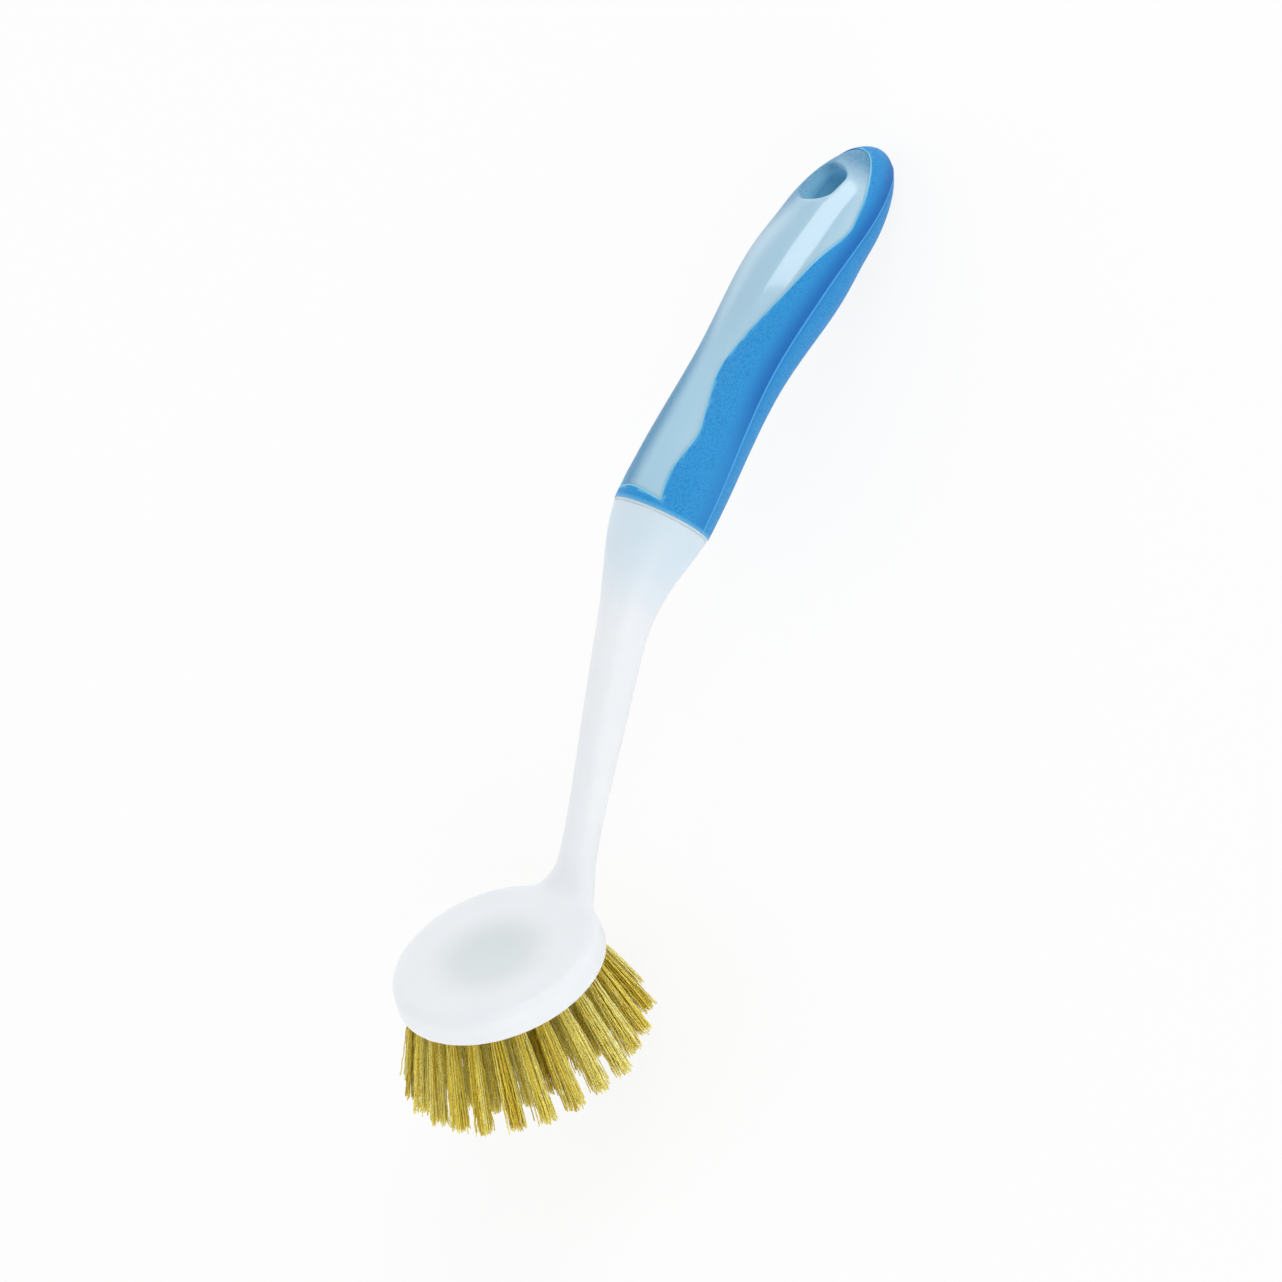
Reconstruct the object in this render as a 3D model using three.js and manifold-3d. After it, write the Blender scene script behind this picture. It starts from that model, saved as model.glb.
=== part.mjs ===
// Stove brush: a round head of splayed wire tufts on a raised neck, with a hard clear handle core,
// a soft overmoulded grip that leaves a wavy window on top, and a hanging hole near the tip.
// Millimetres, +Z up. The brush is drawn with its head level at the origin and its neck rising towards
// +X, and is then laid down as it rests on a table: on its heel tufts and the end of its handle.

import * as THREE from 'three';
import { mergeGeometries, mergeVertices } from 'three/addons/utils/BufferGeometryUtils.js';
import Module from 'manifold-3d';

const wasm = await Module();
wasm.setup();

// Fits and fineness
const CLEARANCE = 0.3;
const OVERSHOOT = 3;
const FAR = 40;
const HEAD_SIDES = 44;
const HEAD_CURVE_STEPS = 5;
const NECK_SIDES = 18;
const NECK_STEPS = 22;
const TANG_STEPS = 6;
const HANDLE_ARC_STEPS = 12;
const HANDLE_STEPS = 12;
const NOSE_STEPS = 8;
const PANE_SIDES = 28;
const BURIED_SIDES = 20;
const HOLE_END_STEPS = 7;
const WINDOW_STEPS = 28;
const WINDOW_STEP_CROWDING = 1.4;
const ARCH_STEPS = 6;
const SEARCH_STEPS = 40;

// Head: an oval moulding with a rounded back edge and a shallow dish in its back
const HEAD_LENGTH = 59.4;
const HEAD_WIDTH = 57;
const HEAD_THICKNESS = 8;
const HEAD_SHOULDER = 3.2;
const HEAD_HEM = 0.8;
const HEAD_DRAFT = 0.5;
const DISH_RADIUS = 17;
const DISH_DEPTH = 1.5;

// Tuft field: four rings of tufts in a bed inside the head's rim, trimmed level, splayed outwards and
// leaning a little towards the nose of the head
const RIM_WALL = 2.8;
const BED_THICKNESS = 2;
const TUFT_COUNTS = [24, 16, 10, 2];
const TUFT_SPLAY = [18.5, 13, 7, 2];
const TUFT_LEAN = 2.5;
const OUTER_RING_INSET = 2.1;
const CENTRE_RING_RADIUS = 3;
const TUFT_REACH = 28.5;
const TUFT_ROOT_RADIUS = 1.15;
const TUFT_TIP_RADIUS = 1.85;
const TRIM_UNEVENNESS = 0.3;
const STRANDS_AROUND = 6;
const STRAND_RADIUS = 0.48;
const STRAND_EMBED = 1;
const REST_FLAT = 0.5;

// Tuft anchors: flat strips of wire driven across the folded tufts
const ANCHOR_LENGTH = 4.2;
const ANCHOR_HEIGHT = 1.5;
const ANCHOR_THICKNESS = 0.4;

// Spine of the neck and handle: rise above the head's plane in degrees, lengths along the curve.
// The handle is turned a little about the spine, so its top leans away from the head's middle plane.
const NECK_ROOT_INSET = 6.2;
const NECK_ROOT_RADIUS = 14;
const NECK_RISE = 50.2;
const NECK_STRAIGHT = 58.6;
const NECK_BEND = 37.8;
const COLLAR_RISE = 28.8;
const HANDLE_LENGTH = 118.5;
const TIP_RISE = 12.5;
const HANDLE_ROLL = 10;

// Neck sections at shares of its length, from the wide flat root through the slim stem to the collar
const NECK_SHARES = [0, 0.06, 0.13, 0.25, 0.5, 0.72, 0.83, 0.93, 1];
const NECK_ROOT_HALF_WIDTH = 12;
const NECK_ROOT_HALF_THICKNESS = 3;
const NECK_SLIM_HALF_WIDTH = 5.2;
const NECK_SLIM_HALF_THICKNESS = 4.3;
const NECK_MIDDLE_RADIUS = 6.05;
const CONE_START_RADIUS = 7.1;
const CONE_MIDDLE_RADIUS = 9.1;
const CONE_END_RADIUS = 12;
const COLLAR_RADIUS = 13.5;

// Tang of the body inside the handle
const TANG_LENGTH = 62;
const TANG_ROOT_RADIUS = 5.5;
const TANG_END_RADIUS = 3.8;

// Handle sections: half sizes at shares of its length, closed by a rounded nose
const HANDLE_SHARES = [0, 0.12, 0.38, 0.62, 0.78, 1];
const HANDLE_HALF_WIDTHS = [13.7, 13.8, 12.9, 15.4, 14.5, 13.9];
const HANDLE_HALF_HEIGHTS = [13.7, 13.8, 12.5, 13.8, 12.6, 11.4];
const NOSE_LENGTH = 26.5;

// Soft grip: its wall, the step down to the window and the moulding seam along each side, which rises
// above the spine as far as listed and never past a share of the half height
const GRIP_WALL = 2.2;
const WINDOW_STEP = 0.4;
const SEAM_HEIGHT = 0.25;
const SEAM_HALF_WIDTH = 0.45;
const SEAM_RISE = [-3.8, -2.3, 1.2, 1.7, 1.6, 0];
const SEAM_LIMIT = 0.6;

// Window: half widths at shares of the way from its arched end to its tip
const WINDOW_START = 3;
const WINDOW_ARCH = 1.2;
const WINDOW_TIP_MARGIN = 2.6;
const WINDOW_SHARES = [0, 0.07, 0.17, 0.24, 0.34, 0.435, 0.6, 0.76, 0.84, 0.9, 0.955, 0.99, 1];
const WINDOW_HALF_WIDTHS = [8.6, 7.8, 8.9, 7.8, 5.1, 6.5, 10.6, 13.1, 12.2, 10, 6.5, 2.8, 0];

// Hanging hole: a slot with round ends, a flared mouth and a rim that reaches the grip's underside
const HOLE_FROM_TIP = 18.7;
const HOLE_LENGTH = 13;
const HOLE_WIDTH = 9;
const HOLE_RIM = 1.8;
const MOUTH_FLARE = 0.8;
const MOUTH_DEPTH = 2.4;

const UNDERSIDE = -HEAD_THICKNESS;
const HEAD_RATIO = HEAD_WIDTH / HEAD_LENGTH;
const BED_RADIUS = HEAD_LENGTH / 2 - RIM_WALL;
const BED_CEILING = UNDERSIDE + BED_THICKNESS + CLEARANCE;
const radians = THREE.MathUtils.degToRad;

// Solids and booleans

function cleanIndex(index) {
  const kept = [];
  for (let i = 0; i < index.length; i += 3) {
    const [a, b, c] = [index[i], index[i + 1], index[i + 2]];
    if (a !== b && b !== c && c !== a) kept.push(a, b, c);
  }
  return kept;
}

function toSolid(geometry) {
  const bare = geometry.clone();
  for (const name of Object.keys(bare.attributes)) {
    if (name !== 'position') bare.deleteAttribute(name);
  }
  const merged = mergeVertices(bare);
  const mesh = new wasm.Mesh({
    numProp: 3,
    vertProperties: new Float32Array(merged.attributes.position.array),
    triVerts: new Uint32Array(cleanIndex(merged.index.array)),
  });
  return new wasm.Manifold(mesh);
}

function toGeometry(solid) {
  const { vertProperties, triVerts } = solid.getMesh();
  const geometry = new THREE.BufferGeometry();
  geometry.setAttribute('position', new THREE.BufferAttribute(new Float32Array(vertProperties), 3));
  geometry.setIndex(new THREE.BufferAttribute(new Uint32Array(triVerts), 1));
  geometry.computeVertexNormals();
  return geometry;
}

// A smooth curve of values over shares of a length
function valueCurve(shares, values) {
  const curve = new THREE.SplineCurve(shares.map((share, i) => new THREE.Vector2(share, values[i])));
  return (share) => {
    const last = shares.length - 1;
    const clamped = THREE.MathUtils.clamp(share, shares[0], shares[last]);
    const found = shares.findIndex((end, i) => i > 0 && clamped <= end);
    const piece = Math.max(found, 1) - 1;
    let low = piece / last;
    let high = (piece + 1) / last;
    for (let step = 0; step < SEARCH_STEPS; step++) {
      const middle = (low + high) / 2;
      if (curve.getPoint(middle).x < clamped) low = middle;
      else high = middle;
    }
    return curve.getPoint((low + high) / 2).y;
  };
}

// Spine: a straight run or an arc for each stretch, from inside the head to the tip of the handle

function makeSpine(start, stretches) {
  const runs = [];
  let { x, z } = start;
  let begin = 0;
  for (const { length, from, to } of stretches) {
    const run = { begin, length, x, z, from: radians(from), turn: radians(to - from) / length };
    runs.push(run);
    ({ x, z } = pointOnRun(run, length));
    begin += length;
  }
  return (distance) => {
    const run = runs.findLast((candidate) => distance >= candidate.begin) ?? runs[0];
    return pointOnRun(run, distance - run.begin);
  };
}

function pointOnRun(run, along) {
  const rise = run.from + run.turn * along;
  if (run.turn === 0) {
    return { x: run.x + along * Math.cos(rise), z: run.z + along * Math.sin(rise), rise };
  }
  return {
    x: run.x + (Math.sin(rise) - Math.sin(run.from)) / run.turn,
    z: run.z - (Math.cos(rise) - Math.cos(run.from)) / run.turn,
    rise,
  };
}

const ROOT_ARC = NECK_ROOT_RADIUS * radians(NECK_RISE);
const NECK_END = ROOT_ARC + NECK_STRAIGHT + NECK_BEND;
const spine = makeSpine(
  { x: HEAD_LENGTH / 2 - NECK_ROOT_INSET, z: UNDERSIDE / 2 },
  [
    { length: ROOT_ARC, from: 0, to: NECK_RISE },
    { length: NECK_STRAIGHT, from: NECK_RISE, to: NECK_RISE },
    { length: NECK_BEND, from: NECK_RISE, to: COLLAR_RISE },
    { length: HANDLE_LENGTH, from: COLLAR_RISE, to: TIP_RISE },
  ],
);

// Takes a point from straightened coordinates (along the spine, across, above the spine) to the brush
function onSpine(along, across, above) {
  const { x, z, rise } = spine(along);
  return new THREE.Vector3(x - above * Math.sin(rise), across, z + above * Math.cos(rise));
}

function onHandle(along, across, above) {
  const leaning = new THREE.Vector2(across, above).rotateAround(new THREE.Vector2(), -radians(HANDLE_ROLL));
  return onSpine(NECK_END + along, leaning.x, leaning.y);
}

function bendOntoHandle(geometry) {
  const position = geometry.attributes.position;
  for (let i = 0; i < position.count; i++) {
    const point = onHandle(position.getX(i), position.getY(i), position.getZ(i));
    position.setXYZ(i, point.x, point.y, point.z);
  }
  return geometry;
}

// A closed loft through rings of points, with an apex closing each end
function loft(rings, firstApex, lastApex) {
  const sides = rings[0].length;
  const points = [...rings.flat(), firstApex, lastApex];
  const first = points.length - 2;
  const last = points.length - 1;
  const index = [];
  for (let ring = 0; ring + 1 < rings.length; ring++) {
    for (let side = 0; side < sides; side++) {
      const a = ring * sides + side;
      const b = ring * sides + ((side + 1) % sides);
      index.push(a, b, b + sides, a, b + sides, a + sides);
    }
  }
  for (let side = 0; side < sides; side++) {
    const next = (side + 1) % sides;
    const end = (rings.length - 1) * sides;
    index.push(first, next, side, last, end + side, end + next);
  }
  const geometry = new THREE.BufferGeometry().setFromPoints(points);
  geometry.setIndex(index);
  return geometry;
}

// A loft of oval sections { along, width, height }, given as half sizes, closed at a last point
function ovalLoft(sections, sides, place = onSpine, end = sections.at(-1).along) {
  const rings = sections.map(({ along, width, height }) => {
    const ring = [];
    for (let side = 0; side < sides; side++) {
      const turn = (2 * Math.PI * side) / sides;
      ring.push(place(along, width * Math.cos(turn), height * Math.sin(turn)));
    }
    return ring;
  });
  return loft(rings, place(sections[0].along, 0, 0), place(end, 0, 0));
}

// Head, neck and tang: one moulding

function headGeometry() {
  const radius = HEAD_LENGTH / 2;
  const profile = new THREE.Path();
  profile.moveTo(0, -DISH_DEPTH);
  profile.bezierCurveTo(DISH_RADIUS / 2, -DISH_DEPTH, DISH_RADIUS / 2, 0, DISH_RADIUS, 0);
  profile.lineTo(radius - HEAD_SHOULDER - HEAD_DRAFT, 0);
  profile.quadraticCurveTo(radius - HEAD_DRAFT, 0, radius - HEAD_DRAFT / 2, -HEAD_SHOULDER);
  profile.lineTo(radius, UNDERSIDE + HEAD_HEM);
  profile.quadraticCurveTo(radius, UNDERSIDE, radius - HEAD_HEM, UNDERSIDE);
  profile.lineTo(0, UNDERSIDE);
  const lathe = new THREE.LatheGeometry(profile.getPoints(HEAD_CURVE_STEPS).reverse(), HEAD_SIDES);
  return lathe.rotateX(Math.PI / 2).scale(1, HEAD_RATIO, 1);
}

function stemSections() {
  const cone = [NECK_MIDDLE_RADIUS, CONE_START_RADIUS, CONE_MIDDLE_RADIUS, CONE_END_RADIUS, COLLAR_RADIUS];
  const stem = (root, slim) => valueCurve(NECK_SHARES, [root, (root + slim) / 2, slim, slim, ...cone]);
  const width = stem(NECK_ROOT_HALF_WIDTH, NECK_SLIM_HALF_WIDTH);
  const height = stem(NECK_ROOT_HALF_THICKNESS, NECK_SLIM_HALF_THICKNESS);
  const sections = [];
  for (let step = 0; step <= NECK_STEPS; step++) {
    const share = step / NECK_STEPS;
    sections.push({ along: share * NECK_END, width: width(share), height: height(share) });
  }
  return sections;
}

function tangSections(extra) {
  const root = TANG_ROOT_RADIUS + extra;
  const end = TANG_END_RADIUS + extra;
  const sections = [];
  for (let step = 0; step <= TANG_STEPS; step++) {
    const share = step / TANG_STEPS;
    const radius = THREE.MathUtils.lerp(root, end, share);
    sections.push({ along: NECK_END + share * (TANG_LENGTH + extra), width: radius, height: radius });
  }
  return sections;
}

// Tufts: each has a root on the head's underside, an axis that points to its tips and a tangent

function tuftRing(ring) {
  const outer = BED_RADIUS - OUTER_RING_INSET;
  const step = (outer - CENTRE_RING_RADIUS) / (TUFT_COUNTS.length - 1);
  const radius = outer - ring * step;
  const splay = radians(TUFT_SPLAY[ring]);
  const count = TUFT_COUNTS[ring];
  const stagger = ring % 2 === 0 ? 0.5 : 0;
  const tufts = [];
  for (let number = 0; number < count; number++) {
    const turn = (2 * Math.PI * (number + stagger)) / count;
    const outward = new THREE.Vector3(Math.cos(turn), Math.sin(turn), 0);
    const root = new THREE.Vector3(outward.x * radius, outward.y * radius * HEAD_RATIO, UNDERSIDE);
    const axis = outward.clone().multiplyScalar(Math.tan(splay)).setZ(-1);
    axis.x -= Math.tan(radians(TUFT_LEAN));
    axis.normalize();
    const tangent = new THREE.Vector3(-outward.y, outward.x, 0).projectOnPlane(axis).normalize();
    tufts.push({ root, axis, tangent });
  }
  return { tufts, radius, step };
}

const TUFT_RINGS = TUFT_COUNTS.map((count, ring) => tuftRing(ring));
const RING_NAMES = ['outer', 'second', 'third', 'centre'];

// An anchor lies along its tuft's tangent, just clear of the bed at its lowest corner
function anchorFrame({ root, axis, tangent }) {
  const up = axis.clone().negate();
  const side = up.clone().cross(tangent);
  const cornerDrop = ANCHOR_THICKNESS * Math.abs(side.z) + ANCHOR_LENGTH * Math.abs(tangent.z);
  const halfDrop = (ANCHOR_HEIGHT * up.z + cornerDrop) / 2;
  const lift = (BED_THICKNESS + CLEARANCE + halfDrop) / up.z;
  const frame = new THREE.Matrix4().makeBasis(tangent, side, up);
  return frame.setPosition(root.clone().addScaledVector(up, lift));
}

function anchorPocket(tuft) {
  const reach = ANCHOR_HEIGHT + BED_THICKNESS;
  const pocket = new THREE.BoxGeometry(
    ANCHOR_LENGTH + 2 * CLEARANCE,
    ANCHOR_THICKNESS + 2 * CLEARANCE,
    reach,
  );
  pocket.translate(0, 0, ANCHOR_HEIGHT / 2 + CLEARANCE - reach / 2);
  return pocket.applyMatrix4(anchorFrame(tuft));
}

function ovalPlate(innerRadius, outerRadius, bottom, top) {
  const profile = [
    new THREE.Vector2(innerRadius, bottom),
    new THREE.Vector2(outerRadius, bottom),
    new THREE.Vector2(outerRadius, top),
    new THREE.Vector2(innerRadius, top),
  ];
  if (innerRadius > 0) profile.push(profile[0]);
  const plate = new THREE.LatheGeometry(profile, HEAD_SIDES);
  return plate.rotateX(Math.PI / 2).scale(1, HEAD_RATIO, 1);
}

function brushBody() {
  const stem = toSolid(ovalLoft([...stemSections(), ...tangSections(0)], NECK_SIDES));
  const bed = toSolid(ovalPlate(0, BED_RADIUS, UNDERSIDE - BED_THICKNESS, BED_CEILING));
  const pockets = TUFT_RINGS.flatMap(({ tufts }) => tufts.map((tuft) => toSolid(anchorPocket(tuft))));
  const solid = toSolid(headGeometry()).add(stem).subtract(bed);
  return solid.subtract(wasm.Manifold.union(pockets));
}

// One straight strand, three-sided, from its embedded base to its tip
function strandGeometry(base, tip) {
  const direction = tip.clone().sub(base).normalize();
  const side = new THREE.Vector3(direction.z, 0, -direction.x).normalize();
  const other = direction.clone().cross(side);
  const ringAt = (centre) => [0, 1, 2].map((corner) => {
    const turn = (2 * Math.PI * corner) / 3;
    return centre
      .clone()
      .addScaledVector(side, STRAND_RADIUS * Math.cos(turn))
      .addScaledVector(other, STRAND_RADIUS * Math.sin(turn));
  });
  const geometry = new THREE.BufferGeometry().setFromPoints([...ringAt(base), ...ringAt(tip)]);
  geometry.setIndex([0, 2, 1, 3, 4, 5, 0, 1, 4, 0, 4, 3, 1, 2, 5, 1, 5, 4, 2, 0, 3, 2, 3, 5]);
  return geometry;
}

// A repeatable value from 0 to 1 for each strand's trim
const SEED_STEP = 12.9898;
const SEED_SPREAD = 43758.5453;

function unevenness(seed) {
  const wave = Math.sin(seed * SEED_STEP) * SEED_SPREAD;
  return wave - Math.floor(wave);
}

function tuftStrands({ root, axis, tangent }, tuftNumber) {
  const across = axis.clone().cross(tangent);
  const strands = [];
  for (let number = 0; number <= STRANDS_AROUND; number++) {
    const fromAxis = number === STRANDS_AROUND ? 0 : 1;
    const turn = (2 * Math.PI * number) / STRANDS_AROUND;
    const offset = tangent.clone().multiplyScalar(fromAxis * Math.cos(turn));
    offset.addScaledVector(across, fromAxis * Math.sin(turn));
    const trim = TUFT_REACH - TRIM_UNEVENNESS * unevenness(tuftNumber * (STRANDS_AROUND + 1) + number + 1);
    const base = root.clone().addScaledVector(axis, -STRAND_EMBED / -axis.z);
    base.addScaledVector(offset, TUFT_ROOT_RADIUS);
    const tip = root.clone().addScaledVector(axis, trim / -axis.z);
    tip.addScaledVector(offset, TUFT_TIP_RADIUS);
    strands.push(strandGeometry(base, tip));
  }
  return strands;
}

function bristleRing(ring) {
  const { tufts, radius, step } = TUFT_RINGS[ring];
  const isOuter = ring === 0;
  const isCentre = ring === TUFT_RINGS.length - 1;
  const outerEdge = isOuter ? BED_RADIUS - CLEARANCE : radius + (step - CLEARANCE) / 2;
  const innerEdge = isCentre ? 0 : radius - (step - CLEARANCE) / 2;
  const slice = ovalPlate(innerEdge, outerEdge, UNDERSIDE, UNDERSIDE + BED_THICKNESS);
  const firstTuft = TUFT_COUNTS.slice(0, ring).reduce((sum, count) => sum + count, 0);
  const strands = tufts.flatMap((tuft, number) => tuftStrands(tuft, firstTuft + number));
  return toSolid(slice).add(toSolid(mergeGeometries(strands)));
}

// Handle: oval sections along the spine, drawn in by an inset and closed by a rounded nose

const handleHalfWidth = valueCurve(HANDLE_SHARES, HANDLE_HALF_WIDTHS);
const handleHalfHeight = valueCurve(HANDLE_SHARES, HANDLE_HALF_HEIGHTS);
const seamRise = valueCurve(HANDLE_SHARES, SEAM_RISE);

function handleStations(begin, inset) {
  const noseStart = HANDLE_LENGTH - NOSE_LENGTH;
  const stations = [];
  for (let step = 0; step < HANDLE_STEPS; step++) {
    stations.push(THREE.MathUtils.lerp(begin, noseStart, step / HANDLE_STEPS));
  }
  for (let step = 0; step < NOSE_STEPS; step++) {
    stations.push(noseStart + (NOSE_LENGTH - inset) * Math.sin((Math.PI / 2) * (step / NOSE_STEPS)));
  }
  return stations;
}

function handleSection(along, inset) {
  const share = along / HANDLE_LENGTH;
  const intoNose = Math.max(0, (along - HANDLE_LENGTH + NOSE_LENGTH) / (NOSE_LENGTH - inset));
  const nose = Math.sqrt(Math.max(0, 1 - intoNose * intoNose));
  return {
    along,
    width: (handleHalfWidth(share) - inset) * nose,
    height: (handleHalfHeight(share) - inset) * nose,
  };
}

function handleLoft(begin, inset, sides) {
  const sections = handleStations(begin, inset).map((along) => handleSection(along, inset));
  return ovalLoft(sections, sides, onHandle, HANDLE_LENGTH - inset);
}

// The grip's outside, with the thin raised seam of its mould along both sides
function gripRing(along) {
  const { width, height } = handleSection(along, 0);
  const rise = seamRise(along / HANDLE_LENGTH) / height;
  const seam = Math.acos(THREE.MathUtils.clamp(rise, -SEAM_LIMIT, SEAM_LIMIT));
  const half = SEAM_HALF_WIDTH / width;
  const point = (turn, out) => onHandle(along, (width + out) * Math.sin(turn), height * Math.cos(turn));
  const arc = (from, to) => {
    const turns = [];
    for (let step = 0; step <= HANDLE_ARC_STEPS; step++) {
      turns.push(THREE.MathUtils.lerp(from, to, step / HANDLE_ARC_STEPS));
    }
    return turns.map((turn) => point(turn, 0));
  };
  const under = [point(seam, SEAM_HEIGHT), ...arc(seam + half, 2 * Math.PI - seam - half)];
  const over = [point(-seam, SEAM_HEIGHT), ...arc(-seam + half, seam - half)];
  return [...over, ...under].reverse();
}

function gripOutside() {
  const rings = handleStations(CLEARANCE, 0).map(gripRing);
  return loft(rings, onHandle(CLEARANCE, 0, 0), onHandle(HANDLE_LENGTH, 0, 0));
}

// The window's outline along and across the handle, drawn in by an inset, and raised to a bent prism
function windowPrism(inset) {
  const end = HANDLE_LENGTH - WINDOW_TIP_MARGIN;
  const halfWidth = valueCurve(WINDOW_SHARES, WINDOW_HALF_WIDTHS);
  const oneSide = [];
  for (let step = 0; step <= WINDOW_STEPS; step++) {
    const share = 1 - (1 - step / WINDOW_STEPS) ** WINDOW_STEP_CROWDING;
    const along = THREE.MathUtils.lerp(WINDOW_START + inset, end - inset, share);
    oneSide.push(new THREE.Vector2(along, Math.max(0, halfWidth(share) - inset)));
  }
  const otherSide = oneSide.slice(0, -1).reverse().map(({ x, y }) => new THREE.Vector2(x, -y));
  const arch = new THREE.QuadraticBezierCurve(
    otherSide.at(-1),
    new THREE.Vector2(WINDOW_START + inset + 2 * WINDOW_ARCH, 0),
    oneSide[0],
  );
  const outline = new THREE.Shape([...oneSide, ...otherSide, ...arch.getPoints(ARCH_STEPS).slice(1, -1)]);
  const prism = new THREE.ExtrudeGeometry(outline, { depth: FAR, bevelEnabled: false });
  return bendOntoHandle(prism);
}

// A slot with round ends, centred on the hanging hole and grown by a margin
function holeOutline(margin) {
  const radius = HOLE_WIDTH / 2 + margin;
  const reach = (HOLE_LENGTH - HOLE_WIDTH) / 2;
  const centre = HANDLE_LENGTH - HOLE_FROM_TIP;
  const points = [];
  for (const [side, start] of [[1, -Math.PI / 2], [-1, Math.PI / 2]]) {
    for (let step = 0; step <= HOLE_END_STEPS; step++) {
      const turn = start + (Math.PI * step) / HOLE_END_STEPS;
      const along = centre + side * reach + radius * Math.cos(turn);
      points.push(new THREE.Vector2(along, radius * Math.sin(turn)));
    }
  }
  return points;
}

function holePrism(margin, bottom, top) {
  const shape = new THREE.Shape(holeOutline(margin));
  const prism = new THREE.ExtrudeGeometry(shape, { depth: top - bottom, bevelEnabled: false });
  return bendOntoHandle(prism.translate(0, 0, bottom));
}

// The mouth widens evenly from the slot up to the window's surface
function holeMouth() {
  const along = HANDLE_LENGTH - HOLE_FROM_TIP;
  const surface = handleSection(along, WINDOW_STEP).height;
  const slope = MOUTH_FLARE / MOUTH_DEPTH;
  const levels = [
    { margin: 0, height: surface - MOUTH_DEPTH },
    { margin: MOUTH_FLARE + OVERSHOOT * slope, height: surface + OVERSHOOT },
  ];
  const rings = levels.map(({ margin, height }) =>
    holeOutline(margin).map(({ x, y }) => onHandle(x, y, height)));
  return loft(rings, onHandle(along, 0, levels[0].height), onHandle(along, 0, levels[1].height));
}

function handleCore() {
  const socket = toSolid(ovalLoft(
    [{ ...tangSections(CLEARANCE)[0], along: NECK_END - GRIP_WALL }, ...tangSections(CLEARANCE)],
    NECK_SIDES,
  ));
  const pane = toSolid(handleLoft(CLEARANCE, WINDOW_STEP, PANE_SIDES));
  const rim = toSolid(holePrism(HOLE_RIM, -FAR, 0)).intersect(pane);
  const window = toSolid(windowPrism(CLEARANCE)).intersect(pane);
  const hole = toSolid(holePrism(0, -FAR, FAR)).add(toSolid(holeMouth()));
  const buried = toSolid(handleLoft(CLEARANCE, GRIP_WALL, BURIED_SIDES));
  return buried.add(window).add(rim).subtract(socket).subtract(hole);
}

function softGrip() {
  const core = toSolid(handleLoft(-GRIP_WALL, GRIP_WALL - CLEARANCE, BURIED_SIDES));
  const window = toSolid(windowPrism(0));
  const rim = toSolid(holePrism(HOLE_RIM + CLEARANCE, -FAR, 0));
  return toSolid(gripOutside()).subtract(core).subtract(window).subtract(rim);
}

// Rest: the tilt at which the heel tufts, cut flat, and the handle touch the table together

function lowestPoint(geometry, tilt) {
  const position = geometry.attributes.position;
  let lowest = Infinity;
  for (let i = 0; i < position.count; i++) {
    lowest = Math.min(lowest, position.getZ(i) * Math.cos(tilt) - position.getX(i) * Math.sin(tilt));
  }
  return lowest;
}

function findRest(bristles, grip) {
  let low = 0;
  let high = Math.PI / 2;
  for (let step = 0; step < SEARCH_STEPS; step++) {
    const middle = (low + high) / 2;
    if (lowestPoint(grip, middle) > lowestPoint(bristles, middle) + REST_FLAT) low = middle;
    else high = middle;
  }
  return { tilt: low, level: lowestPoint(grip, low) };
}

function tableBlock({ tilt, level }) {
  const size = 2 * (HEAD_LENGTH + NECK_END + HANDLE_LENGTH);
  const block = new THREE.BoxGeometry(size, size, FAR).translate(0, 0, level - FAR / 2);
  return toSolid(block.rotateY(-tilt));
}

// Finishes

const FINISHES = {
  whitePlastic: new THREE.MeshStandardMaterial({ color: 0xeff3f6, roughness: 0.42 }),
  clearPlastic: new THREE.MeshStandardMaterial({ color: 0xb2d0de, roughness: 0.18 }),
  blueRubber: new THREE.MeshStandardMaterial({ color: 0x2f8ad2, roughness: 0.55 }),
  brassWire: new THREE.MeshStandardMaterial({ color: 0xc4a848, roughness: 0.45, metalness: 0.6 }),
  anchorWire: new THREE.MeshStandardMaterial({ color: 0xc9ccd0, roughness: 0.35, metalness: 1 }),
};

const brush = new THREE.Group();

function addPiece(name, geometry, finish) {
  const mesh = new THREE.Mesh(geometry, finish);
  mesh.name = name;
  brush.add(mesh);
  return mesh;
}

addPiece('brush_body', toGeometry(brushBody()), FINISHES.whitePlastic);
addPiece('handle_core', toGeometry(handleCore()), FINISHES.clearPlastic);
const grip = addPiece('soft_grip', toGeometry(softGrip()), FINISHES.blueRubber);

const bristleSolids = TUFT_RINGS.map((ring, number) => bristleRing(number));
const rest = findRest(toGeometry(bristleSolids[0]), grip.geometry);
const table = tableBlock(rest);
bristleSolids.forEach((solid, ring) => {
  addPiece(`bristles_${RING_NAMES[ring]}`, toGeometry(solid.subtract(table)), FINISHES.brassWire);
});

TUFT_RINGS.forEach(({ tufts }, ring) => {
  tufts.forEach((tuft, number) => {
    const strip = new THREE.BoxGeometry(ANCHOR_LENGTH, ANCHOR_THICKNESS, ANCHOR_HEIGHT);
    const label = String(number + 1).padStart(2, '0');
    const anchor = addPiece(`anchor_${RING_NAMES[ring]}_${label}`, strip, FINISHES.anchorWire);
    anchor.applyMatrix4(anchorFrame(tuft));
  });
});

// The brush lies on the plane z = 0, with the middle of its outline at the origin
brush.rotation.y = rest.tilt;
brush.updateMatrixWorld(true);
const outline = new THREE.Box3().setFromObject(brush, true);
const middle = outline.getCenter(new THREE.Vector3());
brush.position.set(-middle.x, -middle.y, -outline.min.z);

const part = new THREE.Group();
part.add(brush);
part.updateMatrixWorld(true);

export default part;
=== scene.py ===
# Stove brush: white head and neck, clear handle core, blue soft grip and crimped golden wire tufts.
import math
import random

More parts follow.
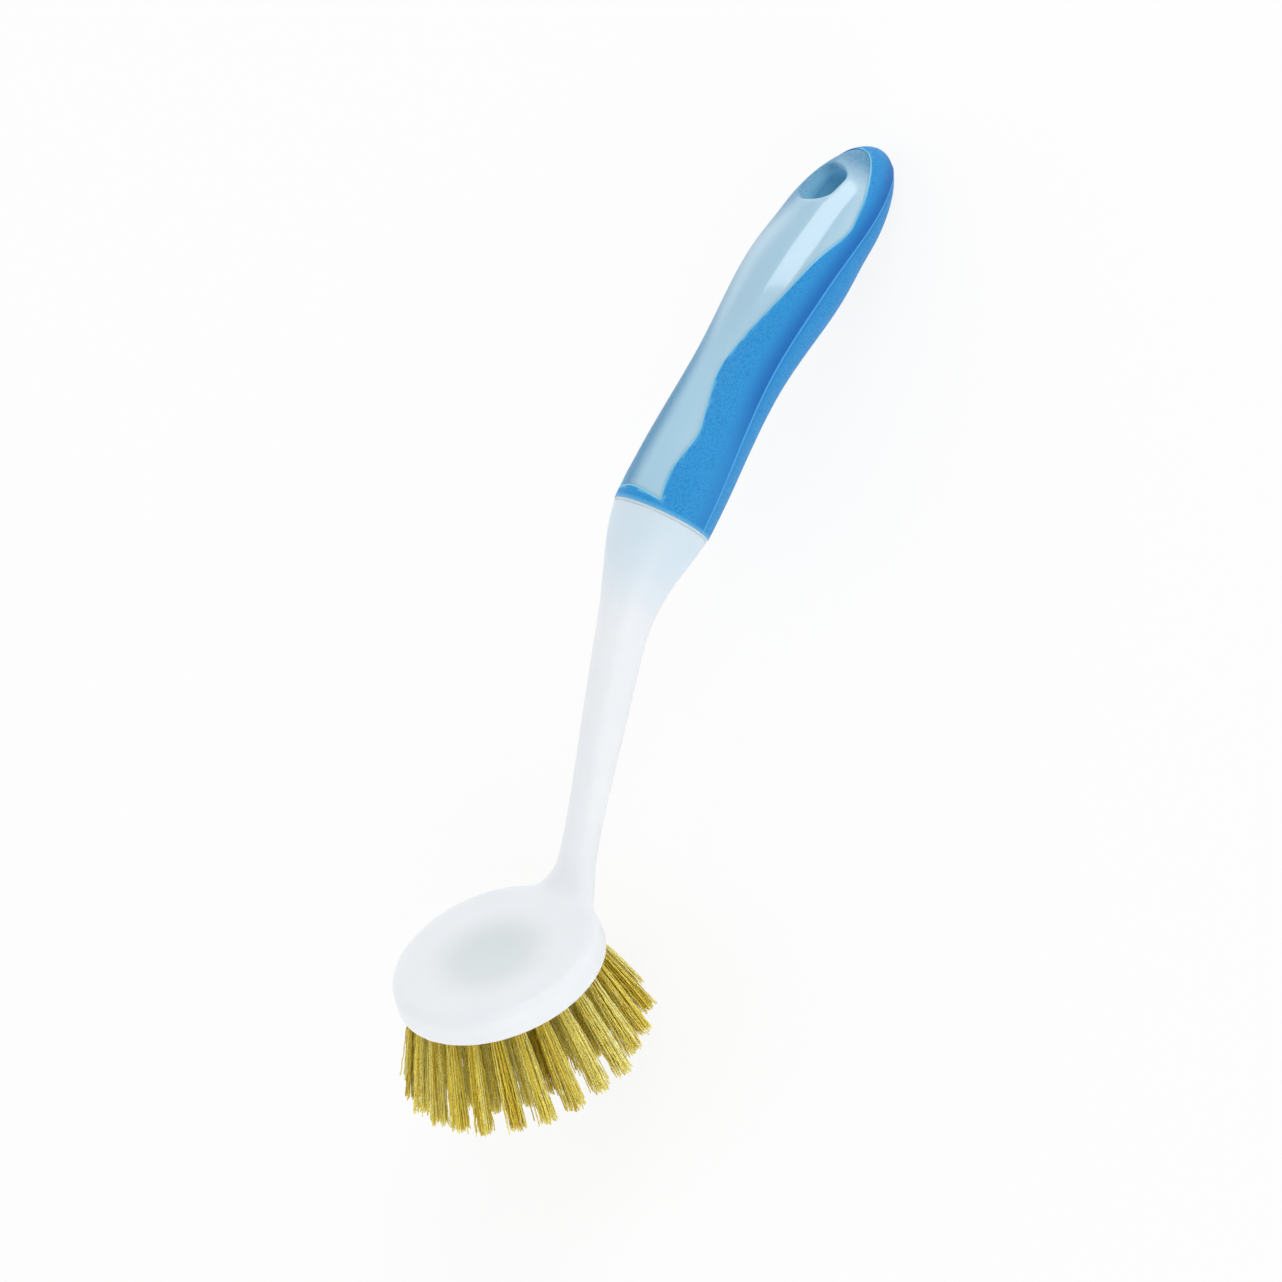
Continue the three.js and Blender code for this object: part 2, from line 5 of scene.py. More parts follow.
import bmesh
import bpy
from bpy.props import (
    FloatProperty,
    FloatVectorProperty,
    IntProperty,
    IntVectorProperty,
    PointerProperty,
)
from mathutils import Matrix, Vector
from mathutils.kdtree import KDTree


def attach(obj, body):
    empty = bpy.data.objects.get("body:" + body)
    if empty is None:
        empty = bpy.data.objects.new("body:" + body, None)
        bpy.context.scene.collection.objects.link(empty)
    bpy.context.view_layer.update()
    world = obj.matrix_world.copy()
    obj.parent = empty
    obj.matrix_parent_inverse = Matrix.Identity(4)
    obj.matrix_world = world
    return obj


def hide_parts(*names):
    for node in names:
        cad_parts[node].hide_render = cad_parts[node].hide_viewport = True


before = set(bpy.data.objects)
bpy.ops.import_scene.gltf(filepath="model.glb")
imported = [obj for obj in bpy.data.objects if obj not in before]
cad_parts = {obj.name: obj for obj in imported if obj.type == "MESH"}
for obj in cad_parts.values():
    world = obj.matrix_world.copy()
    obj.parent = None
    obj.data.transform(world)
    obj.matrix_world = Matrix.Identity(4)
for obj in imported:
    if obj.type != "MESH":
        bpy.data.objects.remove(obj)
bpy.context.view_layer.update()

bl_info = {
    "name": "Stove brush",
    "version": (1, 0, 0),
    "blender": (4, 5, 0),
    "location": "3D View > Sidebar > Stove brush",
    "description": "Models a stove brush with wire tufts and a two-colour grip",
    "category": "Add Mesh",
}

ROOT_BODY = "root"
MM = 0.001

# Where the brush rests on the table: its tilt about Y and the place of its head
REST_TILT = 0.67517752
REST_PLACE = Vector((-91.8683, 0.0168, 49.1269)) * MM
PLACING = Matrix.Translation(REST_PLACE) @ Matrix.Rotation(REST_TILT, 4, "Y")

# Spine of the neck and handle: lengths along it, and rises from the head's plane and the roll in degrees
SPINE_START = Vector((23.5, 0, -4)) * MM
NECK_RISE = 50.2
NECK_ROOT_RADIUS = 14 * MM
NECK_ROOT_LENGTH = NECK_ROOT_RADIUS * math.radians(NECK_RISE)
NECK_STRAIGHT = 58.6 * MM
NECK_BEND = 37.8 * MM
NECK_END = NECK_ROOT_LENGTH + NECK_STRAIGHT + NECK_BEND
COLLAR_RISE = 28.8
TIP_RISE = 12.5
HANDLE_LENGTH = 118.5 * MM
HANDLE_ROLL = 10

# Shares of the neck, the handle and the window at which their sections are listed
NECK_SHARES = (0, 0.06, 0.13, 0.25, 0.5, 0.72, 0.83, 0.93, 1)
HANDLE_SHARES = (0, 0.12, 0.38, 0.62, 0.78, 1)
WINDOW_SHARES = (0, 0.07, 0.17, 0.24, 0.34, 0.435, 0.6, 0.76, 0.84, 0.9, 0.955, 0.99, 1)
TANG_SHARES = (0, 0.25, 0.5, 0.75, 1)

# Rings of tufts, from the outside in
RINGS = ("outer", "second", "third", "centre")

# Fineness
SPINE_POINTS = 240
BISECTIONS = 40
HEAD_SIDES = 128
HEM_STEPS = 5
CROWN_STEPS = 10
DISH_STEPS = 24
NECK_SIDES = 96
NECK_STEPS = 110
SOCKET_SIDES = 48
GRIP_STEPS = 92
NOSE_STEPS = 22
UPPER_STEPS = 40
LOWER_STEPS = 52
PANE_SIDES = 112
CAVITY_SIDES = 64
WINDOW_STEPS = 110
ARCH_STEPS = 24
EDGE_PARTS = 8
SLOT_STEPS = 16
WIRE_SIDES = 3
WIRE_STEPS = 12
BODY_VOXEL = 0.45 * MM
BODY_PASSES = 8
FOOT_PASSES = 160
WELD_DISTANCE = 0.004 * MM
FLAT_DISTANCE = 0.002 * MM

# How far the cutting tools reach past the handle
FAR = 40 * MM


def amount(name, description, value, unit="NONE"):
    """A plain number, or one with a unit."""
    return FloatProperty(name=name, description=description, default=value, unit=unit, precision=5)


def length(name, description, value):
    """A size in metres, written here in millimetres."""
    return amount(name, description, value * MM, "LENGTH")


def angle(name, description, degrees):
    """An angle, written here in degrees."""
    return amount(name, description, math.radians(degrees), "ROTATION")


def lengths(name, description, values):
    """A list of sizes in metres, written here in millimetres."""
    sizes = [value * MM for value in values]
    return FloatVectorProperty(
        name=name, description=description, size=len(sizes), default=sizes, unit="LENGTH", precision=5)


def colour(name, description, *screen):
    """A colour, written here as it looks on a screen from 0 to 255."""
    parts = [screen_to_light(part) for part in screen]
    return FloatVectorProperty(
        name=name, description=description, size=3, default=parts, subtype="COLOR", min=0, max=1)


def screen_to_light(part):
    """The linear value of a screen value from 0 to 255."""
    share = part / 255
    return share / 12.92 if share <= 0.04045 else ((share + 0.055) / 1.055) ** 2.4


class BodySettings(bpy.types.PropertyGroup):
    """White head and neck."""

    head_length: length("Head length", "Length of the oval head", 59.4)
    head_width: length("Head width", "Width of the oval head", 57)
    head_thickness: length("Head thickness", "Height of the head's edge", 8)
    shoulder: length("Shoulder", "Height of the rounding of the head's back edge", 3)
    crown: length("Crown", "Width of the rounding of the head's back edge", 3.6)
    hem: length("Hem", "Rounding of the head's lower edge", 0.8)
    draft: length("Draft", "How far the head's side leans in", 0.5)
    dish_radius: length("Dish radius", "Radius of the hollow in the head's back", 17)
    dish_depth: length("Dish depth", "Depth of the hollow in the head's back", 1.5)
    half_widths: lengths(
        "Neck half widths", "From root to collar",
        (13, 9.8, 5.8, 5.35, 6.05, 7.1, 9.1, 12, 13.5))
    half_heights: lengths(
        "Neck half heights", "From root to collar",
        (3, 4, 4.8, 4.45, 6.05, 7.1, 9.1, 12, 13.5))
    collar_edge: length("Collar edge", "Rounding of the collar's edge", 0.3)
    tang_length: length("Tang length", "Length of the tang inside the handle", 62)
    tang_root: length("Tang root", "Radius of the tang at the collar", 5.5)
    tang_end: length("Tang end", "Radius of the tang at its end", 3.8)
    plastic: colour("Plastic", "Colour of the white plastic", 240, 243, 247)
    # Painted light: the bluish light that the grip throws on the plastic next to it
    painted_grip_light: colour("Painted grip light", "Painted bluish light from the grip on the plastic next to it", 211, 229, 241)
    # Painted shade in the dish, also the grey of faint random mottling all over
    dish_shade_and_mottle: colour("Dish shade and mottle", "Grey of the painted shade in the dish and of faint random mottling", 222, 229, 230)


class HandleSettings(bpy.types.PropertyGroup):
    """Blue grip and clear core."""

    half_widths: lengths("Half widths", "From collar to tip", (13.7, 13.8, 12.9, 15.4, 14.5, 13.9))
    half_heights: lengths("Half heights", "From collar to tip", (13.7, 13.8, 12.5, 13.8, 12.6, 11.4))
    nose: length("Nose", "Length of the rounded tip", 26.5)
    wall: length("Wall", "Thickness of the soft grip", 2.2)
    gap: length("Gap", "Width of the clear line between the collar and the grip", 0.35)
    fit: length("Fit", "Gap round the tang", 0.3)
    collar_edge: length("Collar edge", "Rounding of the grip's edge at the collar", 0.3)
    seam_height: length("Seam height", "How far the moulding seam stands out", 0.25)
    seam_half_width: length("Seam half width", "Half the width of the moulding seam", 0.45)
    seam_rises: lengths(
        "Seam rises", "Above the spine, from collar to tip",
        (-4.2, -3.6, -1.1, 0, -1.6, -2.5))
    window_step: length("Window step", "How far the window lies below the grip", 0.4)
    window_start: length("Window start", "Distance of the window from the collar", 3)
    window_arch: length("Window arch", "Rise of the arch at the collar end of the window", 1.2)
    window_margin: length("Window margin", "Distance of the window from the tip", 4.2)
    window_near_widths: lengths(
        "Window near widths", "From collar to tip, on the near side",
        (9, 8.3, 9.6, 8.4, 6.3, 7.8, 12.1, 14, 13.4, 11.6, 8.4, 4.4, 0))
    window_far_widths: lengths(
        "Window far widths", "From collar to tip, on the far side",
        (9, 10.2, 10.8, 10.6, 10.2, 10.6, 12.4, 14, 13.4, 11.6, 8.4, 4.4, 0))
    hole_from_tip: length("Hole from tip", "Distance of the hanging hole from the tip", 18.7)
    hole_length: length("Hole length", "Length of the hanging hole", 13)
    hole_width: length("Hole width", "Width of the hanging hole", 9)
    hole_rim: length("Hole rim", "Width of the clear rim under the grip", 1.8)
    hole_near: length("Hole near side", "How much further the hole's mouth reaches round the near side", 2)
    mouth_flare: length("Mouth flare", "How far the mouth of the hole widens", 0.8)
    mouth_depth: length("Mouth depth", "How deep the mouth of the hole reaches", 2.4)
    rubber: colour("Rubber", "Colour of the soft grip", 46, 152, 216)
    # Painted shade towards the seam, also the colour of random mottling
    rubber_shade_and_mottle: colour("Rubber shade and mottle", "Painted shade of the soft grip towards its seam, also its random mottling", 12, 104, 184)
    # Painted highlight on the lip round the window and at the collar
    rubber_lip_highlight: colour("Rubber lip highlight", "Painted highlight on the grip's edge round the window and at the collar", 146, 222, 248)
    # Painted highlight along the moulding seam
    rubber_seam_highlight: colour("Rubber seam highlight", "Painted highlight on the moulding seam", 84, 184, 246)
    clear: colour("Clear plastic", "Colour of the clear core", 172, 209, 229)
    # Painted shade on the core's far flank and at its tip
    clear_flank_shade: colour("Clear flank shade", "Painted shade of the core where it turns to its flank and at its tip", 62, 136, 180)
    # Painted highlight on the core's line next to the collar
    clear_ring_highlight: colour("Clear ring highlight", "Painted highlight on the core's line next to the collar", 226, 243, 250)
    # Painted light deep in the hanging hole, as if lit through the clear walls
    clear_hole_light: colour("Clear hole light", "Painted light on the core deep in the hanging hole", 150, 212, 238)


class BristleSettings(bpy.types.PropertyGroup):
    """Wire tufts."""

    counts: IntVectorProperty(
        name="Tufts",
        description="Tufts in each ring, from the outside in",
        size=len(RINGS),
        default=(24, 16, 10, 2),
        min=1,
    )
    splay: FloatVectorProperty(
        name="Splay",
        description="Outward lean of each ring of tufts",
        size=len(RINGS),
        default=[math.radians(degrees) for degrees in (16.5, 11.5, 6, 2)],
        unit="ROTATION",
    )
    lean: angle("Lean", "Lean of all tufts towards the nose of the head", 2.5)
    heel_splay: angle("Heel splay", "Extra outward lean of the tufts at the heel", 4.5)
    heel_trim: length("Heel trim", "How much shorter the wires are at the heel", 1.6)
    jitter: angle("Jitter", "How much the tufts' leans differ", 1.1)
    outer_radius: length("Outer ring", "Radius of the outer ring of tufts", 24.8)
    centre_radius: length("Centre ring", "Radius of the centre ring of tufts", 3)
    reach: length("Reach", "How far the wires reach below the head", 26.8)
    embed: length("Embed", "How far the wires go into the head", 1.5)
    root_radius: length("Root radius", "Radius of a tuft at the head", 1.6)
    tip_radius: length("Tip radius", "Radius of a tuft at its tips", 2.5)
    unevenness: length("Unevenness", "How much the wires' lengths differ", 2.2)
    wires: IntProperty(name="Wires", description="Wires in a tuft", default=64, min=1)
    wire_radius: length("Wire radius", "Radius of a wire", 0.185)
    crimp: length("Crimp", "Height of the crimp in a wire", 0.13)
    seed: IntProperty(name="Seed", description="Start of the random draws", default=7)
    dark: colour("Dark wire", "Colour of the darkest wires", 196, 168, 40)
    middle: colour("Middle wire", "Colour of most wires", 250, 232, 94)
    light: colour("Light wire", "Colour of the lightest wires", 255, 247, 150)
    speck: colour("Specks", "Colour of the dark specks on the wires", 152, 124, 22)
    anchor: colour("Anchor", "Colour of the anchor wire", 200, 204, 208)


class StageSettings(bpy.types.PropertyGroup):
    """Floor, lights and camera."""

    floor: colour("Floor", "Colour of the floor", 250, 250, 250)
    floor_size: amount("Floor size", "Width of the floor", 30, "LENGTH")
    shadow: amount("Shadow", "How much of its shadow the floor shows", 0.14)
    key_power: amount("Key light", "Power of the softbox overhead", 6.6, "POWER")
    fill_power: amount("Fill light", "Power of the fill light", 8.4, "POWER")
    front_power: amount("Front light", "Power of the low front light", 6.6, "POWER")
    ambient: amount("Ambient", "Strength of the light all round", 0.37)
    lens: amount("Lens", "Focal length in millimetres", 800)
    distance: amount("Distance", "Distance of the camera", 7.552, "LENGTH")


class BrushSettings(bpy.types.PropertyGroup):
    """All settings of the stove brush."""

    body: PointerProperty(type=BodySettings)
    handle: PointerProperty(type=HandleSettings)
    bristles: PointerProperty(type=BristleSettings)
    stage: PointerProperty(type=StageSettings)


# Curves and points


def mix(first, second, share):
    """The value at a share of the way from the first to the second."""
    return first + (second - first) * share


def ease(low, high, value):
    """A smooth step from 0 at low to 1 at high."""
    share = min(1, max(0, (value - low) / (high - low)))
    return share * share * (3 - 2 * share)


def fade(low, high, value):
    """A smooth step from 1 at low to 0 at high."""
    return 1 - ease(low, high, value)


def full_turn(sides):
    """Even turns round a circle."""
    return [2 * math.pi * side / sides for side in range(sides)]


def spline_value(points, place):
    """A smooth curve through evenly placed points, at a place from 0 to the last point's number."""
    last = len(points) - 1
    start = min(int(place), last - 1)
    share = place - start
    before = points[max(start - 1, 0)]
    here = points[start]
    there = points[start + 1]
    after = points[min(start + 2, last)]
    leave = (there - before) / 2
    arrive = (after - here) / 2
    cubic = (2 * here - 2 * there + leave + arrive) * share ** 3
    square = (3 * there - 3 * here - 2 * leave - arrive) * share ** 2
    return cubic + square + leave * share + here


def value_curve(shares, values):
    """A function that gives a smooth value at a share of a length."""
    values = list(values)

    def value_at(share):
        share = min(max(share, shares[0]), shares[-1])
        piece = 0
        while piece < len(shares) - 2 and share > shares[piece + 1]:
            piece += 1
        low, high = piece, piece + 1
        for _ in range(BISECTIONS):
            middle = (low + high) / 2
            if spline_value(shares, middle) < share:
                low = middle
            else:
                high = middle
        return spline_value(values, (low + high) / 2)

    return value_at


def arc_points(start, corner, end, steps):
    """Points of a soft corner from start to end, without the start."""
    points = []
    for step in range(1, steps + 1):
        share = step / steps
        first = start.lerp(corner, share)
        second = corner.lerp(end, share)
        points.append(first.lerp(second, share))
    return points


def spine_points():
    """Points of the spine from inside the head to the tip, evenly spaced, at rest on the table."""
    stretches = (
        (NECK_ROOT_LENGTH, 0, NECK_RISE),
        (NECK_STRAIGHT, NECK_RISE, NECK_RISE),
        (NECK_BEND, NECK_RISE, COLLAR_RISE),
        (HANDLE_LENGTH, COLLAR_RISE, TIP_RISE),
    )
    whole = NECK_END + HANDLE_LENGTH
    points = [SPINE_START.copy()]
    stride = whole / SPINE_POINTS
    for number in range(SPINE_POINTS):
        middle = (number + 0.5) * stride
        for stretch, begin_rise, end_rise in stretches:
            if middle <= stretch:
                break
            middle -= stretch
        rise = math.radians(mix(begin_rise, end_rise, middle / stretch))
        points.append(points[-1] + Vector((math.cos(rise), 0, math.sin(rise))) * stride)
    return [PLACING @ point for point in points]


# Modelling steps


def deselect_all():
    """Leaves nothing selected."""
    if bpy.context.object and bpy.context.object.mode != "OBJECT":
        bpy.ops.object.mode_set(mode="OBJECT")
    bpy.ops.object.select_all(action="DESELECT")


def take(piece):
    """Makes a piece the only selected and active one."""
    deselect_all()
    piece.select_set(True)
    bpy.context.view_layer.objects.active = piece


def ring_loft(name, rings, pointed=False):
    """A closed solid extruded ring by ring from a disc, with its last ring drawn to a point if asked."""
    deselect_all()
    bpy.ops.mesh.primitive_circle_add(vertices=len(rings[0]), radius=MM, fill_type="NGON")
    piece = bpy.context.object
    piece.name = name
    bpy.ops.object.mode_set(mode="EDIT")
    bpy.ops.mesh.select_mode(type="FACE")
    bpy.ops.mesh.select_all(action="SELECT")
    order = None
    for ring in rings:
        if order:
            bpy.ops.mesh.extrude_region_move(TRANSFORM_OT_translate={"value": (0, 0, 0)})
        order = shape_ring(piece, ring, order)
    if pointed:
        bpy.ops.mesh.merge(type="CENTER")
    bpy.ops.mesh.select_all(action="SELECT")
    bpy.ops.mesh.normals_make_consistent(inside=False)
    bpy.ops.object.mode_set(mode="OBJECT")
    return piece


def shape_ring(piece, ring, order):
    """Moves the selected ring of corners to its points, and notes which corner stands where."""
    mesh = bmesh.from_edit_mesh(piece.data)
    corners = [corner for corner in mesh.verts if corner.select]
    found = {}
    for number, corner in enumerate(corners):
        place = order[tuple(corner.co)] if order else number
        corner.co = ring[place]
        found[tuple(corner.co)] = place
    if len(found) != len(ring):
        raise RuntimeError("two points of a ring of " + piece.name + " fall together")
    bmesh.update_edit_mesh(piece.data)
    return found


def apply_modifier(piece, kind, **settings):
    """Adds a modifier with its settings and applies it."""
    take(piece)
    modifier = piece.modifiers.new(kind.lower(), kind)
    for name, value in settings.items():
        setattr(modifier, name, value)
    bpy.ops.object.modifier_apply(modifier=modifier.name)


def cut(piece, tool, keep_tool=False):
    """Cuts a tool out of a piece."""
    apply_modifier(piece, "BOOLEAN", operation="DIFFERENCE", solver="EXACT", object=tool)
    if not piece.data.polygons:
        raise RuntimeError("nothing is left of " + piece.name)
    if not keep_tool:
        drop(tool)


def drop(piece):
    """Deletes a helper piece."""
    take(piece)
    bpy.ops.object.delete()


def clean(piece):
    """Merges doubled corners and drops faces without area."""
    take(piece)
    bpy.ops.object.mode_set(mode="EDIT")
    bpy.ops.mesh.select_all(action="SELECT")
    bpy.ops.mesh.remove_doubles(threshold=WELD_DISTANCE)
    bpy.ops.mesh.dissolve_degenerate(threshold=FLAT_DISTANCE)
    bpy.ops.object.mode_set(mode="OBJECT")


def curve_piece(name, lines, closed=False, **settings):
    """A curve of straight stretches through the points of each line."""
    data = bpy.data.curves.new(name, "CURVE")
    for setting, value in settings.items():
        setattr(data, setting, value)
    for points in lines:
        spline = data.splines.new("POLY")
        spline.points.add(len(points) - 1)
        for corner, point in zip(spline.points, points):
            corner.co = (*point, 1)
        spline.use_cyclic_u = closed
    piece = bpy.data.objects.new(name, data)
    bpy.context.collection.objects.link(piece)
    return piece


def bend(piece):
    """Bends a straight piece along the spine."""
    spine = curve_piece("spine", [spine_points()], dimensions="3D", twist_mode="Z_UP")
    apply_modifier(piece, "CURVE", object=spine, deform_axis="POS_X")
    drop(spine)


def bend_handle_piece(piece):
    """Turns a straight handle piece about its length, moves it past the neck and bends it."""
    take(piece)
    piece.rotation_euler.x = -math.radians(HANDLE_ROLL)
    piece.location.x = NECK_END
    bpy.ops.object.transform_apply(location=True, rotation=True, scale=True)
    bend(piece)


def store_list(piece, name, values):
    """Stores a value for each corner of a piece."""
    layer = piece.data.attributes.new(name, "FLOAT", "POINT")
    layer.data.foreach_set("value", values)


def store_values(piece, **functions):
    """Stores the value that each function gives at each corner of a piece, under the function's name."""
    for name, value_at in functions.items():
        store_list(piece, name, [value_at(corner.co) for corner in piece.data.vertices])


def finish_piece(piece, material, slot, *nodes, sharp=35):
    """Smooths a piece, gives it its material and body, and hides the nodes it stands for; its slot is not
    used.
    """
    take(piece)
    bpy.ops.object.shade_smooth_by_angle(angle=math.radians(sharp))
    piece.data.materials.clear()
    piece.data.materials.append(material)
    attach(piece, ROOT_BODY)
    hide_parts(*nodes)


# Materials

# Sockets of the node that mixes two colours
MIX_FIRST = 6
MIX_SECOND = 7
MIX_RESULT = 2

# Noise below and above which the soft clouds stay even
CLOUD_LOW = 0.3
CLOUD_HIGH = 0.7


class Finish:
    """A material with short calls for its nodes."""

    def __init__(self, name):
        self.material = bpy.data.materials.new(name)
        self.material.use_nodes = True
        self.tree = self.material.node_tree
        self.shader = self.tree.nodes["Principled BSDF"]

    def node(self, kind, inputs=(), **settings):
        """Adds a node with its settings and its input values or links."""
        node = self.tree.nodes.new(kind)
        for name, value in settings.items():
            setattr(node, name, value)
        for name, value in dict(inputs).items():
            self.feed(node, name, value)
        return node

    def feed(self, node, name, value):
        """Links a socket to an input, or sets the input's value."""
        if isinstance(value, bpy.types.NodeSocket):
            self.tree.links.new(value, node.inputs[name])
        else:
            node.inputs[name].default_value = value

    def look(self, **inputs):
        """Sets the shader's own inputs, named with _ for a space."""
        for name, value in inputs.items():
            self.feed(self.shader, name.replace("_", " "), value)

    def place(self):
        """Object coordinates."""
        return self.node("ShaderNodeTexCoord").outputs["Object"]

    def value(self, name):
        """A value stored on the piece."""
        return self.node("ShaderNodeAttribute", attribute_name=name).outputs["Fac"]

    def near(self, point, inner, outer):
        """1 within the inner distance of a point and 0 past the outer one."""
        inputs = {0: self.place(), 1: point}
        far = self.node("ShaderNodeVectorMath", inputs, operation="DISTANCE").outputs["Value"]
        return self.span(far, outer, inner, 0, 1)

    def span(self, value, low, high, low_out, high_out):
        """Eases a value from one span to another."""
        inputs = {"Value": value, 1: low, 2: high, 3: low_out, 4: high_out}
        return self.node("ShaderNodeMapRange", inputs, interpolation_type="SMOOTHSTEP").outputs[0]

    def noise(self, scale, detail=2.0):
        """Even noise on the piece."""
        inputs = {"Vector": self.place(), "Scale": scale, "Detail": detail}
        return self.node("ShaderNodeTexNoise", inputs).outputs["Fac"]

    def cloud(self, scale, low, high):
        """Soft noise between a low and a high value."""
        return self.span(self.noise(scale), CLOUD_LOW, CLOUD_HIGH, low, high)

    def combine(self, operation, first, second):
        """Works out a value from two others."""
        return self.node("ShaderNodeMath", {0: first, 1: second}, operation=operation).outputs[0]

    def blend(self, share, first, second):
        """Mixes two colours."""
        node = self.node("ShaderNodeMix", {0: share}, data_type="RGBA")
        for socket, value in ((MIX_FIRST, first), (MIX_SECOND, second)):
            linked = isinstance(value, bpy.types.NodeSocket)
            self.feed(node, socket, value if linked else (*value, 1))
        return node.outputs[MIX_RESULT]

    def bump(self, height, strength, depth):
        """Gives the surface a fine relief."""
        inputs = {"Height": height, "Strength": strength, "Distance": depth}
        self.look(Normal=self.node("ShaderNodeBump", inputs).outputs[0])


def white_plastic(body):
    """Translucent white plastic, with painted bluish light from the grip at its collar, painted shade in the
    dish and faint random grey mottling.
    """
    finish = Finish("white_plastic")
    collar = spine_points()[round(SPINE_POINTS * NECK_END / (NECK_END + HANDLE_LENGTH))]
    dish = PLACING @ Vector((-1 * MM, 0, -body.dish_depth))
    # Painted light: bluish near the collar, as if lit by the blue grip
    near_collar = finish.near(collar, inner=9 * MM, outer=34 * MM)
    # Painted shade: greyer in the dish's hollow
    near_dish = finish.near(dish, inner=7 * MM, outer=20 * MM)
    grip_lit = finish.blend(near_collar, body.plastic, body.painted_grip_light)
    dish_shaded = finish.blend(near_dish, grip_lit, body.dish_shade_and_mottle)
    finish.look(
        # Faint random mottling towards the same grey as the painted shade in the dish
        Base_Color=finish.blend(finish.cloud(90.0, 0, 0.12), dish_shaded, body.dish_shade_and_mottle),
        Roughness=finish.cloud(900.0, 0.34, 0.44),
        Subsurface_Weight=0.25,
        Subsurface_Radius=(1.0, 1.0, 1.0),
        Subsurface_Scale=2.5 * MM,
        IOR=1.49,
    )
    finish.bump(finish.noise(1400.0), strength=0.05, depth=0.1 * MM)
    return finish.material


def blue_rubber(handle):
    """Satin soft rubber with a fine grain and random mottling, painted shade towards its seam, and painted
    highlights round the window, at the collar and on the seam.
    """
    finish = Finish("blue_rubber")
    mottle = finish.span(finish.noise(2000.0, 3.0), 0.4, 0.68, 0, 0.5)
    # Painted shade towards the seam, mixed with random mottling
    deep = finish.combine("MAXIMUM", finish.value("shade"), mottle)
    base = finish.blend(deep, handle.rubber, handle.rubber_shade_and_mottle)
    # Painted highlight on the lip round the window and at the collar
    lit = finish.blend(finish.value("lip"), base, handle.rubber_lip_highlight)
    finish.look(
        # Painted highlight along the moulding seam
        Base_Color=finish.blend(finish.value("seam"), lit, handle.rubber_seam_highlight),
        Roughness=finish.cloud(700.0, 0.46, 0.58),
        Specular_IOR_Level=0.3,
    )
    finish.bump(finish.noise(2600.0, 3.0), strength=0.12, depth=0.06 * MM)
    return finish.material


def clear_plastic(handle):
    """Glossy clear plastic, with painted shade at its far flank and tip, a painted highlight on its line
    next to the collar and painted light deep in the hanging hole.
    """
    finish = Finish("clear_plastic")
    grain = finish.span(finish.noise(1500.0, 4.0), 0.34, 0.66, 0.82, 1)
    # Painted shade on the far flank and tip, broken up by grain
    flank = finish.combine("MULTIPLY", finish.value("flank"), grain)
    flank_shaded = finish.blend(flank, handle.clear, handle.clear_flank_shade)
    # Painted highlight on the core's line next to the collar
    ring_lit = finish.blend(finish.value("ring"), flank_shaded, handle.clear_ring_highlight)
    finish.look(
        # Painted light deep in the hanging hole
        Base_Color=finish.blend(finish.value("hole"), ring_lit, handle.clear_hole_light),
        Roughness=finish.span(finish.value("gloss"), 0, 1, 0.5, 0.3),
        Specular_IOR_Level=0.25,
        Subsurface_Weight=0.4,
        Subsurface_Radius=(1.0, 1.0, 1.0),
        Subsurface_Scale=4.0 * MM,
        IOR=1.75,
        Coat_Weight=finish.value("gloss"),
        Coat_Roughness=0.1,
        Coat_IOR=1.75,
    )
    finish.bump(finish.noise(500.0), strength=0.03, depth=0.1 * MM)
    return finish.material


def brass_wire(bristles):
    """Golden wire, each of its own tone and a little darker at its root."""
    finish = Finish("brass_wire")
    tone = finish.value("tone")
    low = finish.blend(finish.span(tone, 0, 0.5, 0, 1), bristles.dark, bristles.middle)
    wire = finish.blend(finish.span(tone, 0.5, 1, 0, 1), low, bristles.light)
    rooted = finish.blend(finish.span(finish.value("along"), 0.5, 0.05, 0, 0.3), wire, bristles.dark)
    specks = finish.span(finish.noise(2600.0, 3.0), 0.45, 0.66, 0, 0.55)
    finish.look(
        Base_Color=finish.blend(specks, rooted, bristles.speck),
        Metallic=0.1,
        Roughness=finish.cloud(800.0, 0.32, 0.5),
    )
    return finish.material


def anchor_wire(bristles):
    """Bright drawn wire of the tuft anchors."""
    finish = Finish("anchor_wire")
    dull = [part * 0.7 for part in bristles.anchor]
    finish.look(
        Base_Color=finish.blend(finish.cloud(2200.0, 0, 1), bristles.anchor, dull),
        Metallic=1.0,
        Roughness=finish.cloud(2200.0, 0.28, 0.42),
    )
    return finish.material


# Head and neck

# Steps of the collar's rounding: how far back and how far in, as shares of the edge
COLLAR_ROUNDING = ((0.5, 0.0), (0.15, 0.15), (0.0, 0.5))

# The neck's foot, in millimetres from the head's middle: its place, its width and where its smoothing ends
FOOT_X = 30.5
FOOT_Z = -1.5
FOOT_STRETCH = 1.5
FOOT_SPAN = (5, 14)


def head_profile(body):
    """The head's outline from its underside over the shoulder to the dish, as radius and height."""
    radius = body.head_length / 2
    under = -body.head_thickness
    outline = [Vector((radius - body.hem, under))]
    side_foot = Vector((radius, under + body.hem))
    outline += arc_points(outline[-1], Vector((radius, under)), side_foot, HEM_STEPS)
    side_top = Vector((radius - body.draft / 2, -body.shoulder))
    outline.append(side_top)
    back_edge = Vector((radius - body.draft - body.crown, 0))
    outline += arc_points(side_top, Vector((radius - body.draft, 0)), back_edge, CROWN_STEPS)
    for step in range(DISH_STEPS):
        share = step / DISH_STEPS
        outline.append(Vector((body.dish_radius * (1 - share), -body.dish_depth * ease(0, 1, share))))
    return outline


